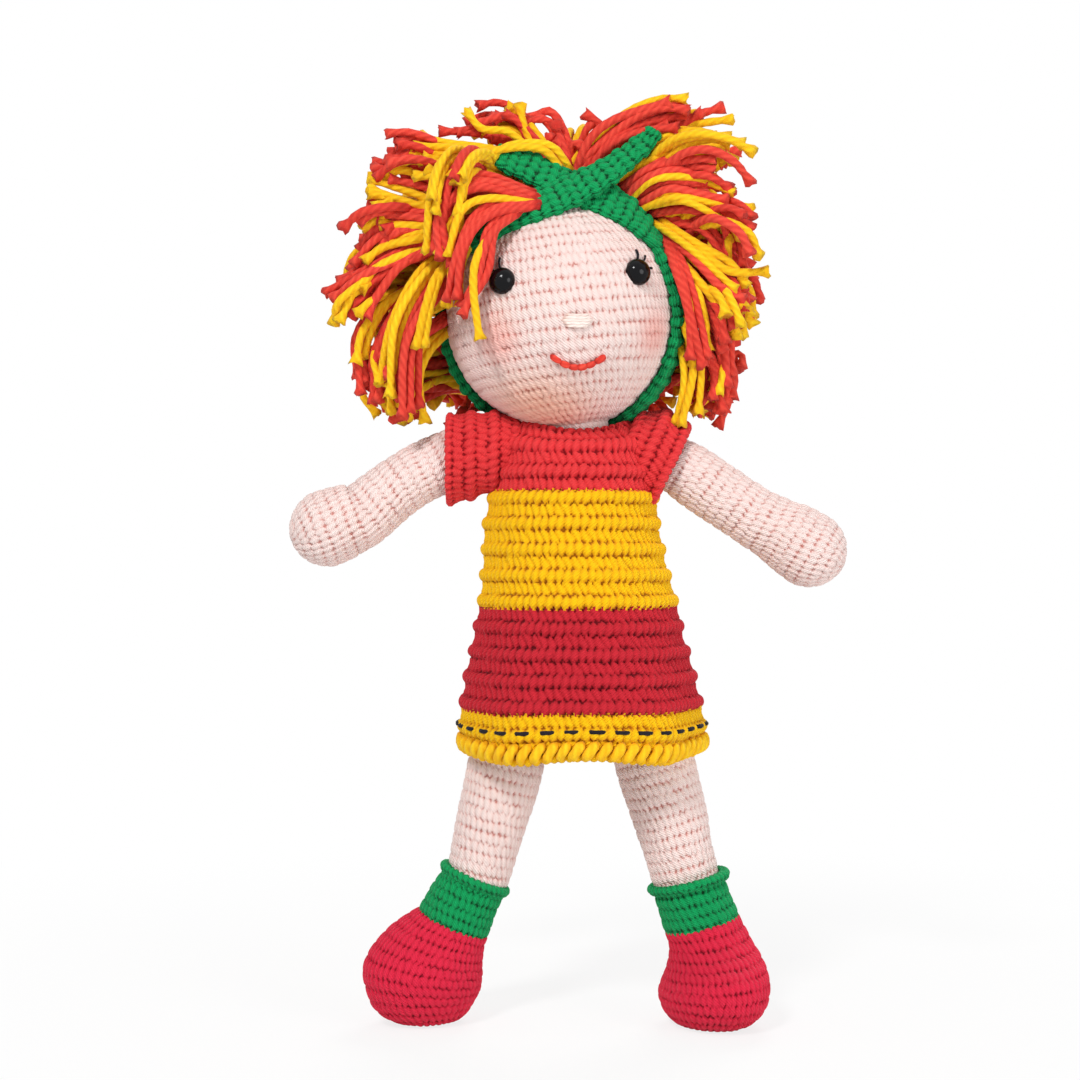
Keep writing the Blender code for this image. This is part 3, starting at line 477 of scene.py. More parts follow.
def strands(name, lines, radius, material, body, slot, replaces=(), sides=10, step=2.0,
            flare=0.0, seed=3, taper=False, twist=3.6):
    """Plied strands along lines of points. flare spreads the cut end, taper closes both ends."""
    rng = np.random.default_rng(seed)
    turn = 2 * math.pi * np.arange(sides) / sides
    about = np.arange(sides)
    points, quads, caps, uvs, lays, tones = [], [], [], [], [], []
    base = 0
    for line in lines:
        length = resampled(line, 2)[1]
        count = max(5, int(length / step) + 2)
        centre = resampled(line, count)[0]
        along, e1 = carried_frames(centre)
        e2 = np.cross(along, e1)
        run = np.linspace(0, length, count)
        wide = np.full((count, sides), radius * (0.92 + 0.16 * rng.random()))
        wide *= 1 + 0.06 * np.sin(run * 1.3 + rng.random() * 6)[:, None]
        if flare:
            past = np.clip((run - (length - 3.4)) / 3.4, 0, 1)[:, None]
            petals = 0.5 + 0.5 * np.sin(turn * 3 + rng.random() * 6)[None, :]
            waist = np.exp(-((run[:, None] - (length - 4.4)) / 1.2) ** 2)
            wide *= 1 + past**1.4 * (flare * (0.5 + rng.random()) + 0.45 * petals) - 0.13 * waist
        if taper:
            ends = np.minimum(run, length - run) / (1.2 * radius) + 0.35
            wide *= np.clip(ends, 0, 1)[:, None]
        ring = (centre[:, None, :] + wide[:, :, None] * (
            np.cos(turn)[None, :, None] * e1[:, None, :]
            + np.sin(turn)[None, :, None] * e2[:, None, :]))
        if flare:
            ring[-1] += along[-1] * (1.4 * rng.random(sides)[:, None] - 0.4)
        sink = 0.9 if flare else -0.3 * radius
        ends = np.stack([centre[0] - along[0] * 0.1, centre[-1] - along[-1] * sink])
        points.append(np.vstack([ring.reshape(-1, 3), ends]))
        i, j = np.meshgrid(np.arange(count - 1), about, indexing="ij")
        k = (j + 1) % sides
        quads.append(base + np.stack([
            i * sides + j, i * sides + k, (i + 1) * sides + k, (i + 1) * sides + j
        ], 2).reshape(-1, 4))
        start, end, last = count * sides, count * sides + 1, (count - 1) * sides
        after = (about + 1) % sides
        caps.append(base + np.stack([np.full(sides, start), after, about], 1))
        caps.append(base + np.stack([np.full(sides, end), last + about, last + after], 1))
        spin = rng.random()
        uvs.append(np.stack([
            np.stack([(j + over) / sides + spin, run[i + on] / twist], 2)
            for over, on in ((0, 0), (1, 0), (1, 1), (0, 1))
        ], 2).reshape(-1, 2))
        lay = np.full(len(points[-1]), 0.62 + 0.3 * rng.random())
        # Painted shade on the first two rings at the root and on the middle of the far end
        lay[:sides * 2] = 0.3
        lay[end] = 0.25
        lays.append(lay)
        tones.append(np.full(len(lay), rng.random()))
        base += len(lay)
    caps = np.vstack(caps)
    uv = np.vstack([*uvs, np.zeros((len(caps) * 3, 2))])
    faces = np.vstack(quads).tolist() + caps.tolist()
    return make_mesh(name, np.vstack(points), faces, material, body, slot, replaces, uv,
                     lay=np.concatenate(lays), tone=np.concatenate(tones))


def shifted(stations):
    """Rings given about the doll's own middle line, set at its place in the frame."""
    return [(x, y + DOLL_Y, z, *radii) for x, y, z, *radii in stations]


# Head, neck and trunk

head_axis = np.array(next(j for j in frame["joints"] if j["name"] == "head_turn")["axis"])
head_axis = head_axis / np.linalg.norm(head_axis)
head_rings = []
for angle in np.linspace(0, math.pi, 37):
    r = max(HEAD_R * math.sin(angle), 0.1)
    head_rings.append((*(HEAD_AT + head_axis * (HEAD_R - 0.2) * math.cos(angle)), r, r))
head = skin("head_skin", head_rings, "face", "head", "skin yarn",
            ("head_cover", "head_stuffing"), row=4.2, res=6, fine=9, seed=11, lumps=0.25)

BODY_X, LEAN = 2.4, 0.018


def body_x(z):
    return BODY_X + LEAN * (200 - z) - 1.7 * math.exp(-(((z - 172) / 13) ** 2))


TRUNK = (
    (213, 11.3), (208, 11.5), (203.5, 11.9), (199, 17), (194, 22), (182, 25), (166, 25.5),
    (148, 26.5), (128, 27.5), (118, 26.5), (110, 20), (106.5, 11), (106, 0.2),
)
torso = skin("torso_skin", shifted([(body_x(z), 0, z, r, r * 0.84) for z, r in TRUNK]), "skin",
             "torso", "skin yarn", ("torso_cover", "torso_stuffing"), res=4, fine=6, seed=21,
             relief=0.8, lumps=0.2)

# Dress: height, half width, depth as a share of it

DRESS = (
    (202.6, 17.6, 0.62), (205.0, 18.6, 0.62), (205.2, 20.4, 0.64), (202.6, 23.2, 0.72),
    (197.5, 25.8, 0.82), (190, 27.2, 0.86), (182, 28.9, 0.86), (172, 30.3, 0.86),
    (160, 31.7, 0.87), (146, 34.1, 0.88), (132, 36.8, 0.88), (118, 40.2, 0.88), (105, 42.4, 0.88),
    (98.6, 41.9, 0.88), (94.4, 40.2, 0.88), (95.2, 38.9, 0.88), (104, 39.9, 0.88),
    (118, 37.6, 0.87), (140, 32.6, 0.87),
)


def dress_shape(points):
    """Raises the top edge over the shoulders and gives the skirt its slow folds."""
    x = points[:, :, 0] - BODY_X
    z = points[:, :, 2]
    top = np.clip((z - 196) / 10, 0, 1) ** 1.5
    points = points.copy()
    points[:, :, 2] += top * 3.4 * np.clip(np.abs(x) / 18, 0, 1.3) ** 2
    turn = np.arctan2(points[:, :, 1] - DOLL_Y, x)
    low = np.clip((150 - z) / 56, 0, 1) ** 1.3
    fold = 0.9 * np.sin(turn * 5 + 0.6) + 0.6 * np.sin(turn * 9 + 2.0)
    points[:, :, 0] += np.cos(turn) * fold * low
    points[:, :, 1] += np.sin(turn) * fold * low
    points[:, :, 2] += low**3 * 1.1 * np.sin(turn * 4 + 1.2)
    return points


def dress_pieces(rings, rows, res):
    outside = rings[:np.argmin(rings[:, 2]), 2]
    yoke, waist, hem = (round(np.where(outside > z)[0][-1] / res) for z in (184, 146, 110.5))
    return (
        ("dress_yoke_stitches", -1, yoke, "coral", "coral yarn", ("dress_yoke",)),
        ("dress_bodice_stitches", yoke, waist, "golden", "golden yarn", ("dress_bodice",)),
        ("dress_skirt_stitches", waist, hem, "crimson", "crimson yarn", ("dress_skirt",)),
        ("dress_hem_stitches", hem, rows + 1, "golden", "golden yarn", ("dress_hem",)),
    )


dress_rings = shifted([(body_x(z), 0, z, r, r * depth) for z, r, depth in DRESS])
skin("dress", dress_rings, "coral", "torso", "coral yarn", pitch=5.2, row=4.5, relief=1.7,
     turned=True, seed=31, frames=square_to((0, 0, 1)), lumps=0.3, shape=dress_shape,
     pieces=dress_pieces)


OUTSIDE, DRESS_DEPTH = DRESS[13:4:-1], 0.88


def on_dress(turn, z, lift):
    """A place over the outside of the dress, by its angle from the right."""
    heights, halves, _ = zip(*OUTSIDE)
    half = float(np.interp(z, heights, halves))
    place = (body_x(z) + (half + lift) * math.cos(turn),
             DOLL_Y + (half * DRESS_DEPTH + lift) * math.sin(turn), z)
    return dress_shape(np.array([[place]]))[0, 0]


# The last row's slanting stitches wrap round the edge of the hem
EDGE_STITCHES = 58
edge = []
for n in range(EDGE_STITCHES):
    turn = 2 * math.pi * n / EDGE_STITCHES
    edge.append([on_dress(turn + 2 * math.pi / EDGE_STITCHES * along, z, lift)
                 for along, z, lift in ((0.60, 99.8, -0.2), (0.38, 98.4, 0.6), (0.10, 96.6, 0.8),
                                        (-0.12, 95.2, 0.3), (-0.22, 94.5, -0.9),
                                        (-0.26, 94.8, -2.0))])
strands("hem_edge", edge, 1.7, "amber strand", "torso", "golden yarn", step=0.9, taper=True,
        seed=33)
DASHES = 32
dashes = []
for n in range(DASHES):
    turn = 2 * math.pi * (n + 0.3) / DASHES
    dashes.append([on_dress(turn + 2 * math.pi / DASHES * along, 103.4, lift) for along, lift in (
        (0, 0.0), (0.08, 1.1), (0.31, 1.4), (0.54, 1.1), (0.62, 0.0))])
strands("running_stitches", dashes, 0.72, "black strand", "torso", "black bead", step=0.8,
        sides=8, taper=True, seed=34, twist=2.0)

# Arms and sleeves

ARM_DROP = {"left": (28.5, 21), "right": (34.6, 30.5)}
HAND_REACH = {"left": 21.9, "right": 20.9}
SLEEVE_LIFT = {"left": 4.6, "right": 0.0}
WRIST, HAND_R = 42, 12.9


def arm_line(side):
    """Rings from the fingertips up into the sleeve."""
    pivot, forward = SHOULDER[side], math.radians(6)
    upper, lower = (np.array([
        SIDES[side] * math.cos(drop) * math.cos(forward), -math.sin(forward),
        -math.sin(drop) * math.cos(forward)]) for drop in map(math.radians, ARM_DROP[side]))
    wrist = pivot + upper * WRIST
    hand = wrist + lower * HAND_REACH[side]
    rings = []
    for angle in map(math.radians, (90, 82, 68, 50, 30, 12, 0)):
        rings.append((*(hand + lower * HAND_R * math.sin(angle)),
                      max(HAND_R * math.cos(angle), 0.1)))
    for back, r in ((7, 12.3), (13, 11.0)):
        rings.append((*(hand - lower * back), r))
    for at, r in ((42, 10.2), (34, 10.0), (26, 10.2), (16, 10.2), (8, 9.2), (2, 7.2), (-3, 5.2)):
        lift = SLEEVE_LIFT[side] * math.sin(math.pi * min(1, max(0, (at + 3) / 62)))
        rings.append((*(pivot + upper * at + np.array([0, 0, lift])), r))
    return [(x, y, z, r, r * 0.97) for x, y, z, r in rings]


# Along each sleeve from the shoulder seam, round the mouth and back inside
SLEEVES = {
    "left": ((-16.5, 0, 199.0, 9.5, 9.0), (-20, 0, 199.0, 12.6, 11.0),
             (-27, 0, 198.4, 14.0, 12.4), (-35, 0, 197.2, 14.8, 13.1),
             (-39.4, -1, 196.2, 15.7, 13.9), (-41.2, -1, 196.0, 15.5, 13.8),
             (-40.9, -1, 196.0, 13.8, 12.3), (-36, -1, 196.2, 12.4, 11.6)),
    "right": ((18.5, 0, 200.6, 11.0, 10.0), (22.0, 0, 200.0, 14.2, 12.2),
              (27, 0, 198.4, 16.2, 13.8), (31.6, 0, 195.7, 16.8, 14.4),
              (34.4, -1, 194.0, 15.9, 14.2), (35.6, -1, 193.1, 14.8, 13.4),
              (35.1, -1, 193.4, 13.2, 12.3), (32, -1, 195.2, 12.6, 11.8)),
}
SLEEVE_AXES = {"left": (-1.0, 0, 0), "right": (0.9, 0, -0.436)}
for number, side in enumerate(SIDES):
    arm = skin(f"arm_{side}_skin", arm_line(side), "skin", f"arm_{side}", "skin yarn",
               (f"arm_{side}_cover", f"arm_{side}_stuffing"), seed=41 + number * 7)
    sleeve = skin(f"sleeve_{side}_stitches", shifted(SLEEVES[side]), "coral", None, "coral yarn",
                  (f"sleeve_{side}",), pitch=5.0, row=4.3, relief=1.4, turned=True,
                  seed=61 + number * 5, frames=square_to(SLEEVE_AXES[side]), lumps=0.3)
    seam, mouth = SLEEVES[side][1], SLEEVES[side][4]
    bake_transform(sleeve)

# Legs and boots

LEGS = {
    "left": dict(splay=14.3, length=66.2, top=12.9, ankle=10.9, cuff=(-32.6, 49.4), roll=11.3,
                 shaft=11.2, toe=62, lean=23.5),
    "right": dict(splay=14.9, length=68.2, top=13.6, ankle=11.4, cuff=(42.2, 48.4), roll=13.0,
                  shaft=12.4, toe=25, lean=13.5),
}
# Each boot from the cuff down: height, place across, radius
SHAFTS = {
    "left": ((49.6, -32.3, 0.0), (46.6, -33.9, 0.2), (41.6, -36.7, 0.7), (34.0, -40.2, 1.4),
             (31.6, -41.4, -0.4)),
    "right": ((49.4, 41.6, 0.0), (46.0, 42.6, 0.0), (41.7, 44.0, 0.1), (34.0, 46.8, 0.6),
              (31.6, 47.6, -1.4)),
}
FEET = {
    "left": ((34.0, -40.2, 12.7), (30.5, -43.6, 14.6), (26.5, -46.6, 16.2), (21.5, -49.2, 17.0),
             (16.5, -50.6, 16.8), (11.0, -50.6, 15.8), (6.5, -50.2, 14.0), (3.4, -49.6, 11.8),
             (1.5, -49.0, 9.4), (0.7, -48.8, 7.0), (0.5, -48.6, 3.5), (0.5, -48.6, 0.1)),
    "right": ((34.0, 46.8, 13.0), (30.0, 48.4, 13.2), (26.0, 49.6, 13.9), (21.5, 50.6, 15.5),
              (17.0, 50.6, 17.0), (12.5, 50.3, 17.6), (8.2, 49.9, 17.0), (4.4, 49.5, 15.0),
              (2.0, 49.2, 12.4), (0.8, 49.0, 9.6), (0.5, 49.0, 4.5), (0.5, 49.0, 0.1)),
}
FOOT_TOP, FOOT_MIDDLE, FOOT_FORWARD, FOOT_STRETCH = 34.0, 17.0, 10.0, 0.26
for number, (side, leg) in enumerate(LEGS.items()):
    s, body, hip = SIDES[side], f"leg_{side}", HIP[side]
    splay = math.radians(leg["splay"])
    down = np.array([s * math.sin(splay), 0, -math.cos(splay)])
    rings = []
    for at, r in ((-12.5, 3.0), (-10, 7.6), (-4, 11.0), (4, 11.6), (14, leg["top"] - 1.0),
                  (22, leg["top"] - 0.4), (30, leg["top"]), (45, (leg["top"] * 2 + leg["ankle"]) / 3),
                  (58, leg["ankle"] + 0.3), (leg["length"] + 2, leg["ankle"] - 0.3),
                  (leg["length"] + 8, leg["ankle"] - 2.2)):
        rings.append((*(hip + down * at), r, r))
    limb = skin(f"leg_{side}_skin", rings, "skin", body, "skin yarn",
                (f"leg_{side}_cover", f"leg_{side}_stuffing"), seed=81 + number * 7, lumps=0.45)
    lean = math.radians(leg["lean"])
    cuff_at = np.array([leg["cuff"][0], DOLL_Y, leg["cuff"][1]])
    shaft_down = np.array([s * math.sin(lean), 0, -math.cos(lean)])
    ring = []
    for angle in map(math.radians, range(210, -151, -40)):
        r = leg["roll"] + 1.5 * math.cos(angle)
        ring.append((*(cuff_at - shaft_down * 1.6 * math.sin(angle)), r, r))
    skin(f"boot_{side}_cuff_roll", ring, "green", body, "green yarn", (f"boot_{side}_cuff",),
         pitch=4.2, row=3.4, relief=0.9, seed=101 + number, frames=square_to(shaft_down),
         lumps=0.2)
    shaft = [(x, DOLL_Y, z, leg["shaft"] + r, leg["shaft"] + r) for z, x, r in SHAFTS[side]]
    skin(f"boot_{side}_shaft_stitches", shaft, "green", body, "green yarn",
         (f"boot_{side}_shaft", f"ankle_{side}_stuffing"), seed=111 + number,
         frames=square_to(shaft_down), lumps=0.3)
    toe = math.radians(leg["toe"]) * s
    ahead = np.array([math.sin(toe), -math.cos(toe), 0])
    across = np.array([math.cos(toe), math.sin(toe), 0])
    foot = []
    for z, x, r in FEET[side]:
        q = min(1, (FOOT_TOP - z) / FOOT_MIDDLE)
        forward = q * q * (2 - q)
        foot.append((x, DOLL_Y + ahead[1] * FOOT_FORWARD * forward, z, r,
                     r * (1 + FOOT_STRETCH * forward)))

    def foot_frames(rings, across=across, ahead=ahead, lean=lean, s=s):
        tilt = lean * np.clip((rings[:, 2] - 8) / (FOOT_TOP - 8), 0, 1) ** 0.8
        return [np.stack([axis[0] * np.cos(tilt), np.full(len(tilt), axis[1]),
                          axis[0] * s * np.sin(tilt)], 1) for axis in (across, ahead)]

    boot = skin(f"boot_{side}_foot_stitches", foot, "rose", body, "crimson yarn",
                (f"boot_{side}_foot", f"boot_{side}_stuffing"), seed=121 + number,
                frames=foot_frames, lumps=0.3)
    boot.data.vertices.foreach_get("co", sole := np.empty(len(boot.data.vertices) * 3))
    sole[2::3] = np.maximum(sole[2::3], 0.6 * MM)
    boot.data.vertices.foreach_set("co", sole)

# Face


def on_head(azimuth, elevation, lift):
    return HEAD_AT + facing(azimuth, elevation) * (HEAD_R + lift)


def lathed_bead(way, radius, rise):
    """A half-round bead on the head, its rim sunk into the stitches."""
    turn = np.array(Vector(way).to_track_quat("Z", "Y").to_matrix())
    steps, rings = 40, 18
    angle = np.linspace(0.02, math.radians(150), rings + 1)[:, None]
    around = np.linspace(0, 2 * math.pi, steps, endpoint=False)[None, :]
    local = np.stack(np.broadcast_arrays(
        radius * np.sin(angle) * np.cos(around), radius * np.sin(angle) * np.sin(around),
        rise * np.cos(angle) + HEAD_R + 0.8), 2).reshape(-1, 3)
    i, j = np.meshgrid(np.arange(rings), np.arange(steps), indexing="ij")
    k = (j + 1) % steps
    faces = np.stack([i * steps + j, (i + 1) * steps + j, (i + 1) * steps + k, i * steps + k], 2)
    return local @ turn.T + HEAD_AT, faces.reshape(-1, 4)


EYES = {"left": (-30.4, 10.8), "right": (39.6, 15.8)}
EYE_R, EYE_RISE, LASH_ROOT = 4.6, 3.9, 5.5
for side, place in EYES.items():
    points, faces = lathed_bead(facing(*place), EYE_R, EYE_RISE)
    make_mesh(f"eye_{side}_bead", points, faces, "bead", "head", "black bead",
              (f"eye_{side}", f"eye_{side}_washer"))


def arc(start, end, lift, count=7, bow=0.0):
    """A line over the face between two (azimuth, elevation) places."""
    line = []
    for n in range(count):
        t = n / (count - 1)
        a = start[0] + (end[0] - start[0]) * t
        e = start[1] + (end[1] - start[1]) * t + bow * 4 * t * (1 - t)
        line.append(on_head(a, e, lift + 0.9 * 4 * t * (1 - t) - 0.3))
    return line


lashes = []
for side, (azimuth, elevation) in EYES.items():
    for spread, reach in ((18, 13.5), (46, 14.5), (76, 13.0)):
        a, e = SIDES[side] * math.sin(math.radians(spread)), math.cos(math.radians(spread))
        lashes.append(arc((azimuth + LASH_ROOT * a, elevation + LASH_ROOT * e),
                          (azimuth + reach * a, elevation + reach * e), 0.5,
                          bow=0.4 * SIDES[side]))
strands("lashes", lashes, 0.42, "black strand", "head", "black bead", step=0.8, sides=8,
        taper=True, twist=2.0)

NOSE_AT, NOSE_HALF = (6.6, -8.4), 7.8
nose = []
for n in range(5):
    e = NOSE_AT[1] + (n - 2) * 1.25
    half = NOSE_HALF - 1.1 * abs(n - 2)
    nose.append(arc((NOSE_AT[0] - half, e), (NOSE_AT[0] + half, e), 0.8, bow=-0.2))
strands("nose_stitches", nose, 0.55, "skin strand", "head", "skin yarn", ("nose",), step=0.9,
        sides=8, taper=True, twist=3.0)

MOUTH_AT, MOUTH_HALF, SMILE = (7.6, -25.0), 14, 6
steps = np.linspace(-1, 1, 7)
mouth = []
for a, b in zip(steps, steps[1:]):
    mouth.append(arc((MOUTH_AT[0] + MOUTH_HALF * a, MOUTH_AT[1] - SMILE * (1 - a * a)),
                     (MOUTH_AT[0] + MOUTH_HALF * (b + 0.04),
                      MOUTH_AT[1] - SMILE * (1 - b * b)), 0.8, count=5))
strands("mouth_stitches", mouth, 1.15, "coral strand", "head", "coral yarn", ("mouth",),
        step=0.8, taper=True, twist=4.0)

# Headband: a long strip whose ends cross over the brow and stand up as two tails


def rolled(roll, from_front):
    """The direction at an angle from the front, rolled clockwise from the top."""
    r, f = math.radians(roll), math.radians(from_front)
    return np.array((math.sin(f) * math.sin(r), -math.cos(f), math.sin(f) * math.cos(r)))


BAND_COURSE = (
    (23, 57), (54, 62), (80, 62), (100, 66), (121, 71), (140, 78), (157, 99), (172, 114),
    (190, 114), (207, 102), (235, 92), (270, 84), (300, 72), (322, 56), (345, 48), (365, 53),
    (383, 57),
)
BAND_HALF = 6.4
# Places from the head's centre, then half width, half thickness and how far the strip stands up
LEFT_TAIL = (
    (-23, -20, 53, 1.0, 0.6, 1), (-22.4, -20, 52.6, 3.6, 1.5, 1), (-19.4, -20, 51.4, 5.0, 1.9, 1),
    (-13.6, -19.8, 49.2, 5.4, 1.9, 1), (-5, -19.2, 45.4, 5.8, 1.9, 1), (5, -17.8, 41, 6, 1.8, 1),
    (15, -19.2, 37.2, 6.2, 1.7, 1), (24, -17.4, 32.0, BAND_HALF, 1.7, 0.6),
    (30.4, -15.2, 25.6, BAND_HALF, 1.7, 0.1),
)
RIGHT_TAIL = (
    (-29.5, -17.6, 24.4, BAND_HALF, 1.7, 0.1), (-21, -22.4, 29.6, BAND_HALF, 1.7, 0.5),
    (-9, -24.4, 34.8, 6.2, 1.8, 1), (3, -22.6, 39.8, 5.8, 1.9, 1), (12.6, -20.8, 45, 5.2, 1.9, 1),
    (21.4, -18.8, 51.4, 4.1, 1.8, 1), (28.5, -17.2, 57.6, 3.4, 1.7, 1),
    (31, -16.8, 60.4, 2.4, 1.4, 1), (31.6, -16.7, 61.2, 0.8, 0.6, 1),
)
band = [(*(HEAD_AT + np.array(row[:3])), *row[3:]) for row in LEFT_TAIL]
for roll, edge in BAND_COURSE[1:13]:
    way = rolled(roll, edge + math.degrees(BAND_HALF / HEAD_R))
    band.append((*(HEAD_AT + way * (HEAD_R + 1.9)), BAND_HALF, 1.7, 0))
band += [(*(HEAD_AT + np.array(row[:3])), *row[3:]) for row in RIGHT_TAIL]


def band_frames(rings):
    """Across the strip and off its face at each ring."""
    along = np.gradient(rings[:, :3], axis=0)
    along /= np.linalg.norm(along, axis=1)[:, None] + 1e-9
    off = rings[:, :3] - HEAD_AT
    off /= np.linalg.norm(off, axis=1)[:, None]
    stands = np.clip(rings[:, 5:6], 0, 1)
    off = off * (1 - stands) + np.array([0, -0.87, 0.5]) * stands
    off -= along * np.sum(along * off, axis=1)[:, None]
    off /= np.linalg.norm(off, axis=1)[:, None]
    return np.cross(along, off), off


skin("headband_stitches", band, "green", "head", "green yarn", ("headband",), pitch=4.2, row=3.6,
     relief=1.4, turned=0.4, seed=141, frames=band_frames, lumps=0.2, power=3.0)

# Hair: strands that fill each lock, then strands laid along listed guides where they show from the
# front

# Each lock: roll, degrees behind the band's edge, shares of the reach midway and at the tip, girth
LOCKS = (
    (6, 31, (0.24, -0.10, 0.80), (0.62, -0.14, 0.87), 1.0),
    (34, 31, (0.52, -0.22, 0.67), (0.82, -0.24, 0.62), 1.0),
    (60, 31, (0.70, -0.20, 0.40), (0.86, -0.22, 0.25), 1.0),
    (82, 31, (0.72, -0.14, 0.07), (0.82, -0.18, -0.17), 0.94),
    (112, 31, (0.65, 0.00, -0.22), (0.64, -0.08, -0.43), 0.9),
    (-8, 31, (-0.16, -0.08, 0.81), (-0.42, -0.12, 0.87), 0.9),
    (-26, 36, (-0.41, -0.34, 0.67), (-0.54, -0.40, 0.23), 0.72),
    (-40, 33, (-0.56, -0.18, 0.66), (-0.86, -0.18, 0.64), 0.94),
    (-58, 34, (-0.68, -0.13, 0.42), (-0.94, -0.20, 0.34), 0.9),
    (-76, 34, (-0.80, -0.06, 0.14), (-0.98, -0.18, 0.00), 0.9),
    (-97, 36, (-0.76, 0.03, -0.13), (-0.78, -0.14, -0.36), 0.9),
    (-124, 37, (-0.63, 0.20, -0.29), (-0.75, 0.17, -0.49), 0.84),
    (0, 62, (0.04, 0.30, 0.78), (0.00, 0.56, 0.70), 1.2),
    (40, 62, (0.50, 0.28, 0.62), (0.66, 0.44, 0.46), 1.2),
    (-40, 62, (-0.50, 0.28, 0.62), (-0.68, 0.44, 0.46), 1.2),
    (72, 58, (0.70, 0.24, 0.22), (0.84, 0.34, 0.00), 1.2),
    (-68, 60, (-0.74, 0.30, 0.24), (-0.88, 0.38, 0.04), 1.16),
    (106, 54, (0.67, 0.32, -0.20), (0.68, 0.30, -0.45), 1.0),
    (-100, 54, (-0.72, 0.38, -0.17), (-0.74, 0.37, -0.43), 0.94),
    (20, 96, (0.22, 0.64, 0.38), (0.30, 0.72, 0.12), 1.2),
    (-20, 94, (-0.22, 0.64, 0.40), (-0.30, 0.71, 0.16), 1.16),
    (100, 84, (0.48, 0.60, -0.04), (0.50, 0.62, -0.34), 1.2),
    (-110, 74, (-0.43, 0.63, -0.13), (-0.45, 0.62, -0.40), 1.1),
    (176, 46, (0.04, 0.68, -0.14), (0.04, 0.69, -0.40), 1.16),
)
HAIR_REACH, HAIR_STAND, LOCK_R, ROOT_R = 75.0, 16.0, 9.0, 4.6
FRONT_LOCKS = 12
COATS = {True: 22, False: 13}

rng = np.random.default_rng(17)
lines = {"coral": [], "amber": []}


def band_edge(roll):
    return float(np.interp(roll % 360 + 360 * (roll % 360 < 23), *zip(*BAND_COURSE)))


def clear_of_head(points, gap):
    """Pushes a line's points off the head, all but its root."""
    off = np.array(points, float) - HEAD_AT
    far = np.linalg.norm(off, axis=1)
    grow = np.maximum(1, (HEAD_R + gap) / np.maximum(far, 1e-6))
    grow[0] = 1.0
    return HEAD_AT + off * grow[:, None]


def combed(out, stand, middle, tip, t):
    """A line from the scalp straight out, then through its middle to its tip."""
    root, stand = out * (HEAD_R - 1), out * (HEAD_R - 1 + stand)
    bend = (middle * 8 - root - stand * 3 - tip) / 3
    t = t[:, None]
    return HEAD_AT + (root * (1 - t) ** 3 + stand * 3 * t * (1 - t) ** 2
                      + bend * 3 * t**2 * (1 - t) + tip * t**3)


def waved(centre, off, t, depth):
    """A strand beside a combed line, a little wavy."""
    e1 = carried_frames(centre)[1]
    wave = depth * np.sin(t * (7 + 4 * rng.random()) + rng.random() * 6)
    return clear_of_head(centre + off + wave[:, None] * e1, 2.2)


roots, middles, tips = [], [], []
for number, (roll, behind, middle, tip, girth) in enumerate(LOCKS):
    out = rolled(roll, band_edge(roll) + behind)
    middle, tip = np.array(middle) * HAIR_REACH, np.array(tip) * HAIR_REACH
    roots.append(out)
    middles.append(middle)
    tips.append(tip)
    count = COATS[number >= FRONT_LOCKS]
    for n in range(count):
        t = np.linspace(0, 1.03 - 0.26 * rng.random(), 9)
        centre = combed(out, HAIR_STAND, middle, tip, t)
        along, e1 = carried_frames(centre)
        turn = (2 * math.pi * (n + 0.5) / count + 0.9 * (rng.random() - 0.5)
                + 0.9 * t * (rng.random() - 0.5))
        wide = ROOT_R + (LOCK_R * girth - ROOT_R) * np.minimum(1, t / 0.62)
        wide *= 0.95 * math.sqrt((n * 0.618) % 1)
        off = wide[:, None] * (
            np.cos(turn)[:, None] * e1 + np.sin(turn)[:, None] * np.cross(along, e1))
        yarn = "amber" if (number + n // 4) % 5 in (1, 3) else "coral"
        lines[yarn].append(waved(centre, off, t, 1.1))

# Between the locks the scalp is covered by shorter strands, combed the same way, and straight
# down over the middle of the back
SCALP = 640
UNDER_MIDDLE, UNDER_TIP, LOWEST_TIP = 54, 56, -38.0
under = {"coral": [], "amber": []}
for back, rise in ((0.98, 0.20), (0.90, -0.30), (0.92, 0.55)):
    out = np.array((0, back, rise)) / math.hypot(back, rise)
    roots.append(out)
    middles.append(HAIR_REACH * (out * 0.72 - np.array((0, 0, 0.08))))
    tips.append(HAIR_REACH * (out * 0.70 - np.array((0, 0, 0.42))))
roots, middles, tips = np.array(roots), np.array(middles), np.array(tips)
for n in range(SCALP):
    rise, turn = 1 - 2 * (n + 0.5) / SCALP, 2.39996 * n
    flat = math.sqrt(1 - rise * rise)
    out = np.array((flat * math.cos(turn), flat * math.sin(turn), rise))
    roll, from_front = math.degrees(math.atan2(out[0], out[2])), math.degrees(math.acos(-out[1]))
    if from_front < band_edge(roll) + 21:
        continue
    near = np.exp(-(np.arccos(np.clip(roots @ out, -1, 1)) / 0.30) ** 2)[:, None]
    middle, tip = (near * middles).sum(0), (near * tips).sum(0)
    middle *= UNDER_MIDDLE / np.linalg.norm(middle)
    tip *= (UNDER_TIP + 8 * rng.random()) / np.linalg.norm(tip)
    tip[2] = max(tip[2], LOWEST_TIP)
    yarn = "amber" if int(roll // 13 + 2 * (from_front // 16)) % 5 in (1, 3) else "coral"
    t = np.linspace(0, 1.0 - 0.2 * rng.random(), 8)
    off = t[:, None] * (rng.random(3) - 0.5) * 9
    under[yarn].append(waved(combed(out, 7, middle, tip, t), off, t, 1.2))
    if from_front > 125:
        side = np.cross(out, rng.random(3) - 0.5)
        low = out * 45 + 13 * side / np.linalg.norm(side) - np.array((0, 0, 5))
        flat_tip = low * 2 - out * 44
        low[2], flat_tip[2] = max(low[2], LOWEST_TIP + 5), max(flat_tip[2], LOWEST_TIP + 2)
        under[yarn].append(waved(combed(out, 3, low, flat_tip, t), off, t, 0.8))

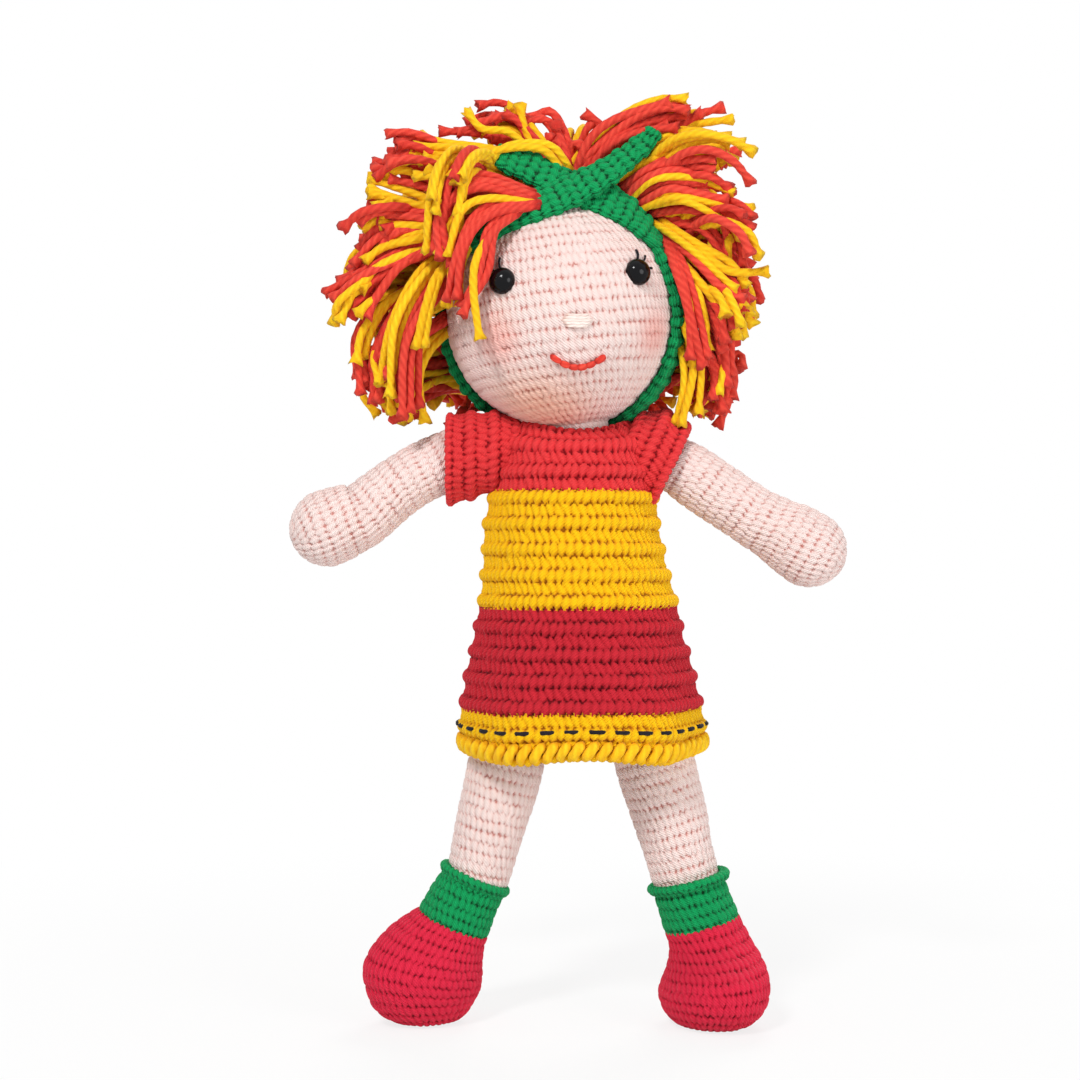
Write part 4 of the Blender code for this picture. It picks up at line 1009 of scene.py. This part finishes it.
# Each guide: yarn, strands, then four places from the head's centre: right, towards the back, up
GUIDES = (
    ("amber", 1, -9, -14, 55, -18, -16, 64, -28, -16, 66, -33, -16, 71),
    ("amber", 1, -9, -12, 56, -12, -12, 64, -14, -12, 69, -16, -12, 72),
    ("coral", 3, 3, -8, 53, -1, -6, 64, -6, -6, 69, -13, -6, 68),
    ("amber", 2, 2, -14, 50, -6, -20, 59, -20, -22, 58, -26, -22, 53),
    ("amber", 2, -6, -12, 52, -26, -18, 58, -42, -18, 60, -51, -18, 61),
    ("coral", 2, -8, -8, 55, -22, -10, 63, -32, -10, 65, -40, -10, 64),
    ("amber", 3, -13, -14, 50, -26, -20, 54, -40, -20, 55, -52, -20, 55),
    ("coral", 3, -15, -12, 49, -32, -17, 55, -45, -17, 57, -56, -17, 54),
    ("coral", 3, -21, -12, 45, -37, -20, 48, -52, -20, 51, -64, -18, 53),
    ("amber", 2, -18, -14, 46, -31, -22, 50, -42, -24, 48, -50, -24, 50),
    ("coral", 3, -23, -12, 42, -40, -20, 43, -50, -20, 47, -60, -18, 49),
    ("amber", 4, -25, -12, 40, -42, -20, 38, -55, -20, 42, -67, -18, 45),
    ("coral", 3, -27, -12, 38, -42, -22, 35, -54, -22, 36, -67, -18, 36),
    ("amber", 2, -28, -12, 36, -43, -23, 32, -54, -22, 32, -63, -18, 32),
    ("coral", 5, -29, -12, 34, -43, -22, 33, -61, -20, 30, -69, -16, 21),
    ("amber", 2, -30, -12, 31, -48, -24, 28, -61, -20, 24, -66, -18, 20),
    ("coral", 5, -32, -12, 27, -48, -22, 24, -66, -20, 16, -80, -16, 8),
    ("amber", 1, -32, -12, 25, -55, -24, 21, -70, -22, 12, -77, -20, -2),
    ("coral", 3, -35, -10, 23, -54, -22, 20, -64, -20, 10, -70, -18, 2),
    ("coral", 5, -10, -24, 41, -30, -32, 47, -42, -32, 37, -40, -30, 20),
    ("amber", 1, -9, -26, 39, -26, -34, 41, -35, -36, 35, -39, -34, 21),
    ("coral", 4, -9, -26, 39, -26, -34, 36, -35, -36, 24, -38, -33, 6),
    ("coral", 3, -15, -28, 37, -25, -36, 29, -29, -37, 14, -35, -36, 1),
    ("amber", 1, -20, -30, 34, -29, -38, 21, -31, -39, 9, -30, -38, -7),
    ("amber", 1, -32, -20, 37, -39, -30, 34, -41, -32, 26, -44, -30, 19),
    ("amber", 2, -32, -16, 27, -37, -28, 19, -38, -30, 10, -38, -28, 3),
    ("amber", 3, -35, -12, 25, -48, -24, 15, -57, -24, -3, -61, -18, -25),
    ("amber", 2, -35, -12, 22, -43, -28, 15, -47, -28, 3, -49, -24, -11),
    ("coral", 5, -35, -12, 20, -45, -24, 9, -53, -22, -9, -55, -16, -33),
    ("amber", 2, -38, -8, 12, -58, -16, 7, -68, -16, -4, -71, -14, -16),
    ("coral", 3, -38, -8, 9, -60, -14, 5, -71, -14, -8, -70, -12, -24),
    ("coral", 4, -38, -8, 10, -54, -16, 4, -63, -16, -12, -66, -12, -29),
    ("amber", 3, -38, -8, 6, -52, -18, -2, -58, -16, -16, -60, -12, -33),
    ("coral", 4, -39, -6, 0, -50, -12, -8, -56, -12, -21, -57, -8, -36),
    ("amber", 2, -39, -4, -4, -48, -10, -13, -52, -10, -24, -51, -6, -36),
    ("coral", 3, 7, -10, 48, 17, -12, 62, 30, -12, 69, 42, -10, 72),
    ("coral", 1, 10, -8, 51, 15, -8, 62, 12, -8, 67, 8, -8, 69),
    ("coral", 2, 13, -6, 51, 27, -8, 62, 41, -8, 67, 53, -8, 71),
    ("amber", 1, 17, -6, 53, 36, -7, 63, 48, -7, 67, 59, -7, 70),
    ("amber", 4, 18, -10, 50, 32, -14, 60, 44, -14, 63, 55, -12, 62),
    ("amber", 2, 20, -12, 47, 33, -16, 55, 45, -16, 59, 55, -14, 60),
    ("coral", 3, 21, -12, 44, 33, -18, 52, 45, -18, 55, 58, -16, 56),
    ("coral", 3, 21, -12, 42, 31, -20, 50, 42, -20, 52, 50, -18, 50),
    ("amber", 1, 23, -12, 40, 33, -21, 48, 47, -20, 47, 61, -18, 43),
    ("coral", 3, 27, -12, 40, 37, -20, 45, 49, -20, 45, 57, -18, 42),
    ("amber", 3, 28, -12, 38, 40, -21, 42, 52, -20, 40, 64, -18, 37),
    ("amber", 1, 30, -12, 38, 43, -22, 40, 54, -22, 35, 63, -20, 30),
    ("coral", 2, 32, -10, 36, 47, -18, 38, 58, -18, 31, 60, -16, 16),
    ("coral", 3, 34, -8, 34, 49, -16, 31, 57, -16, 21, 62, -14, 16),
    ("amber", 2, 33, -10, 33, 45, -20, 25, 56, -20, 17, 63, -18, 11),
    ("amber", 1, 33, -10, 32, 47, -20, 24, 59, -20, 16, 71, -18, 14),
    ("coral", 3, 34, -8, 31, 45, -19, 22, 54, -19, 13, 63, -16, 7),
    ("amber", 2, 35, -6, 27, 47, -18, 16, 57, -18, 5, 64, -14, -6),
    ("coral", 4, 35, -8, 30, 41, -20, 16, 45, -20, 0, 48, -16, -14),
    ("amber", 2, 36, -6, 22, 45, -18, 10, 48, -18, -2, 48, -14, -16),
    ("coral", 4, 37, -4, 18, 49, -12, 8, 56, -12, -6, 59, -8, -21),
    ("amber", 2, 37, -4, 12, 44, -14, -3, 47, -14, -17, 44, -10, -35),
    ("coral", 3, 37, -2, 8, 48, -8, -6, 55, -8, -20, 56, -6, -33),
    ("amber", 2, 38, -2, 5, 43, -10, -11, 44, -10, -24, 41, -8, -37),
)


def at_depth(place):
    """A guide's place, moved along its line of sight from the doll's middle to its own depth."""
    eye = np.array(camera.location) / MM
    place = HEAD_AT + np.array(place, float)
    place[[0, 2]] = eye[[0, 2]] + (place - eye)[[0, 2]] * (1 + (place[1] - DOLL_Y) / CAMERA_BACK)
    return place


def laid(yarn, count, places):
    """Strands laid side by side along one guide, coming apart towards their ends."""
    places = [at_depth(place) for place in places]
    for n in range(count):
        turn = 2 * math.pi * n / count + rng.random() * 0.8
        ring = 0.0 if count == 1 else 1.75 if count < 5 else 2.6
        off = np.array([math.cos(turn), 0.7 * math.sin(turn), math.sin(turn)]) * ring
        line = []
        for t, place in zip((0, 1 / 3, 2 / 3, 1), places):
            jitter = (rng.random(3) - 0.5) * 3.3 * t
            line.append(place + off * (0.75 + 0.6 * t) + jitter)
        line[-1] = line[-2] + (line[-1] - line[-2]) * (1 + (rng.random() - 0.5) * 0.14)
        lines[yarn].append(clear_of_head(line, 2.0))


for yarn, count, *places in GUIDES:
    laid(yarn, count, np.reshape(places, (4, 3)))

locks = [n for n in frame["nodes"] if n.startswith("hair_lock")]
strands("hair_coral", lines["coral"], 1.42, "coral strand", "head", "coral yarn",
        [n for n in locks if int(n[-2:]) % 3], flare=0.42, seed=5)
strands("hair_amber", lines["amber"], 1.38, "amber strand", "head", "amber yarn",
        [n for n in locks if not int(n[-2:]) % 3], flare=0.5, seed=6)
strands("hair_coral_under", under["coral"], 1.42, "coral strand", "head", "coral yarn", sides=8,
        step=2.4, flare=0.42, seed=7)
strands("hair_amber_under", under["amber"], 1.38, "amber strand", "head", "amber yarn", sides=8,
        step=2.4, flare=0.5, seed=8)
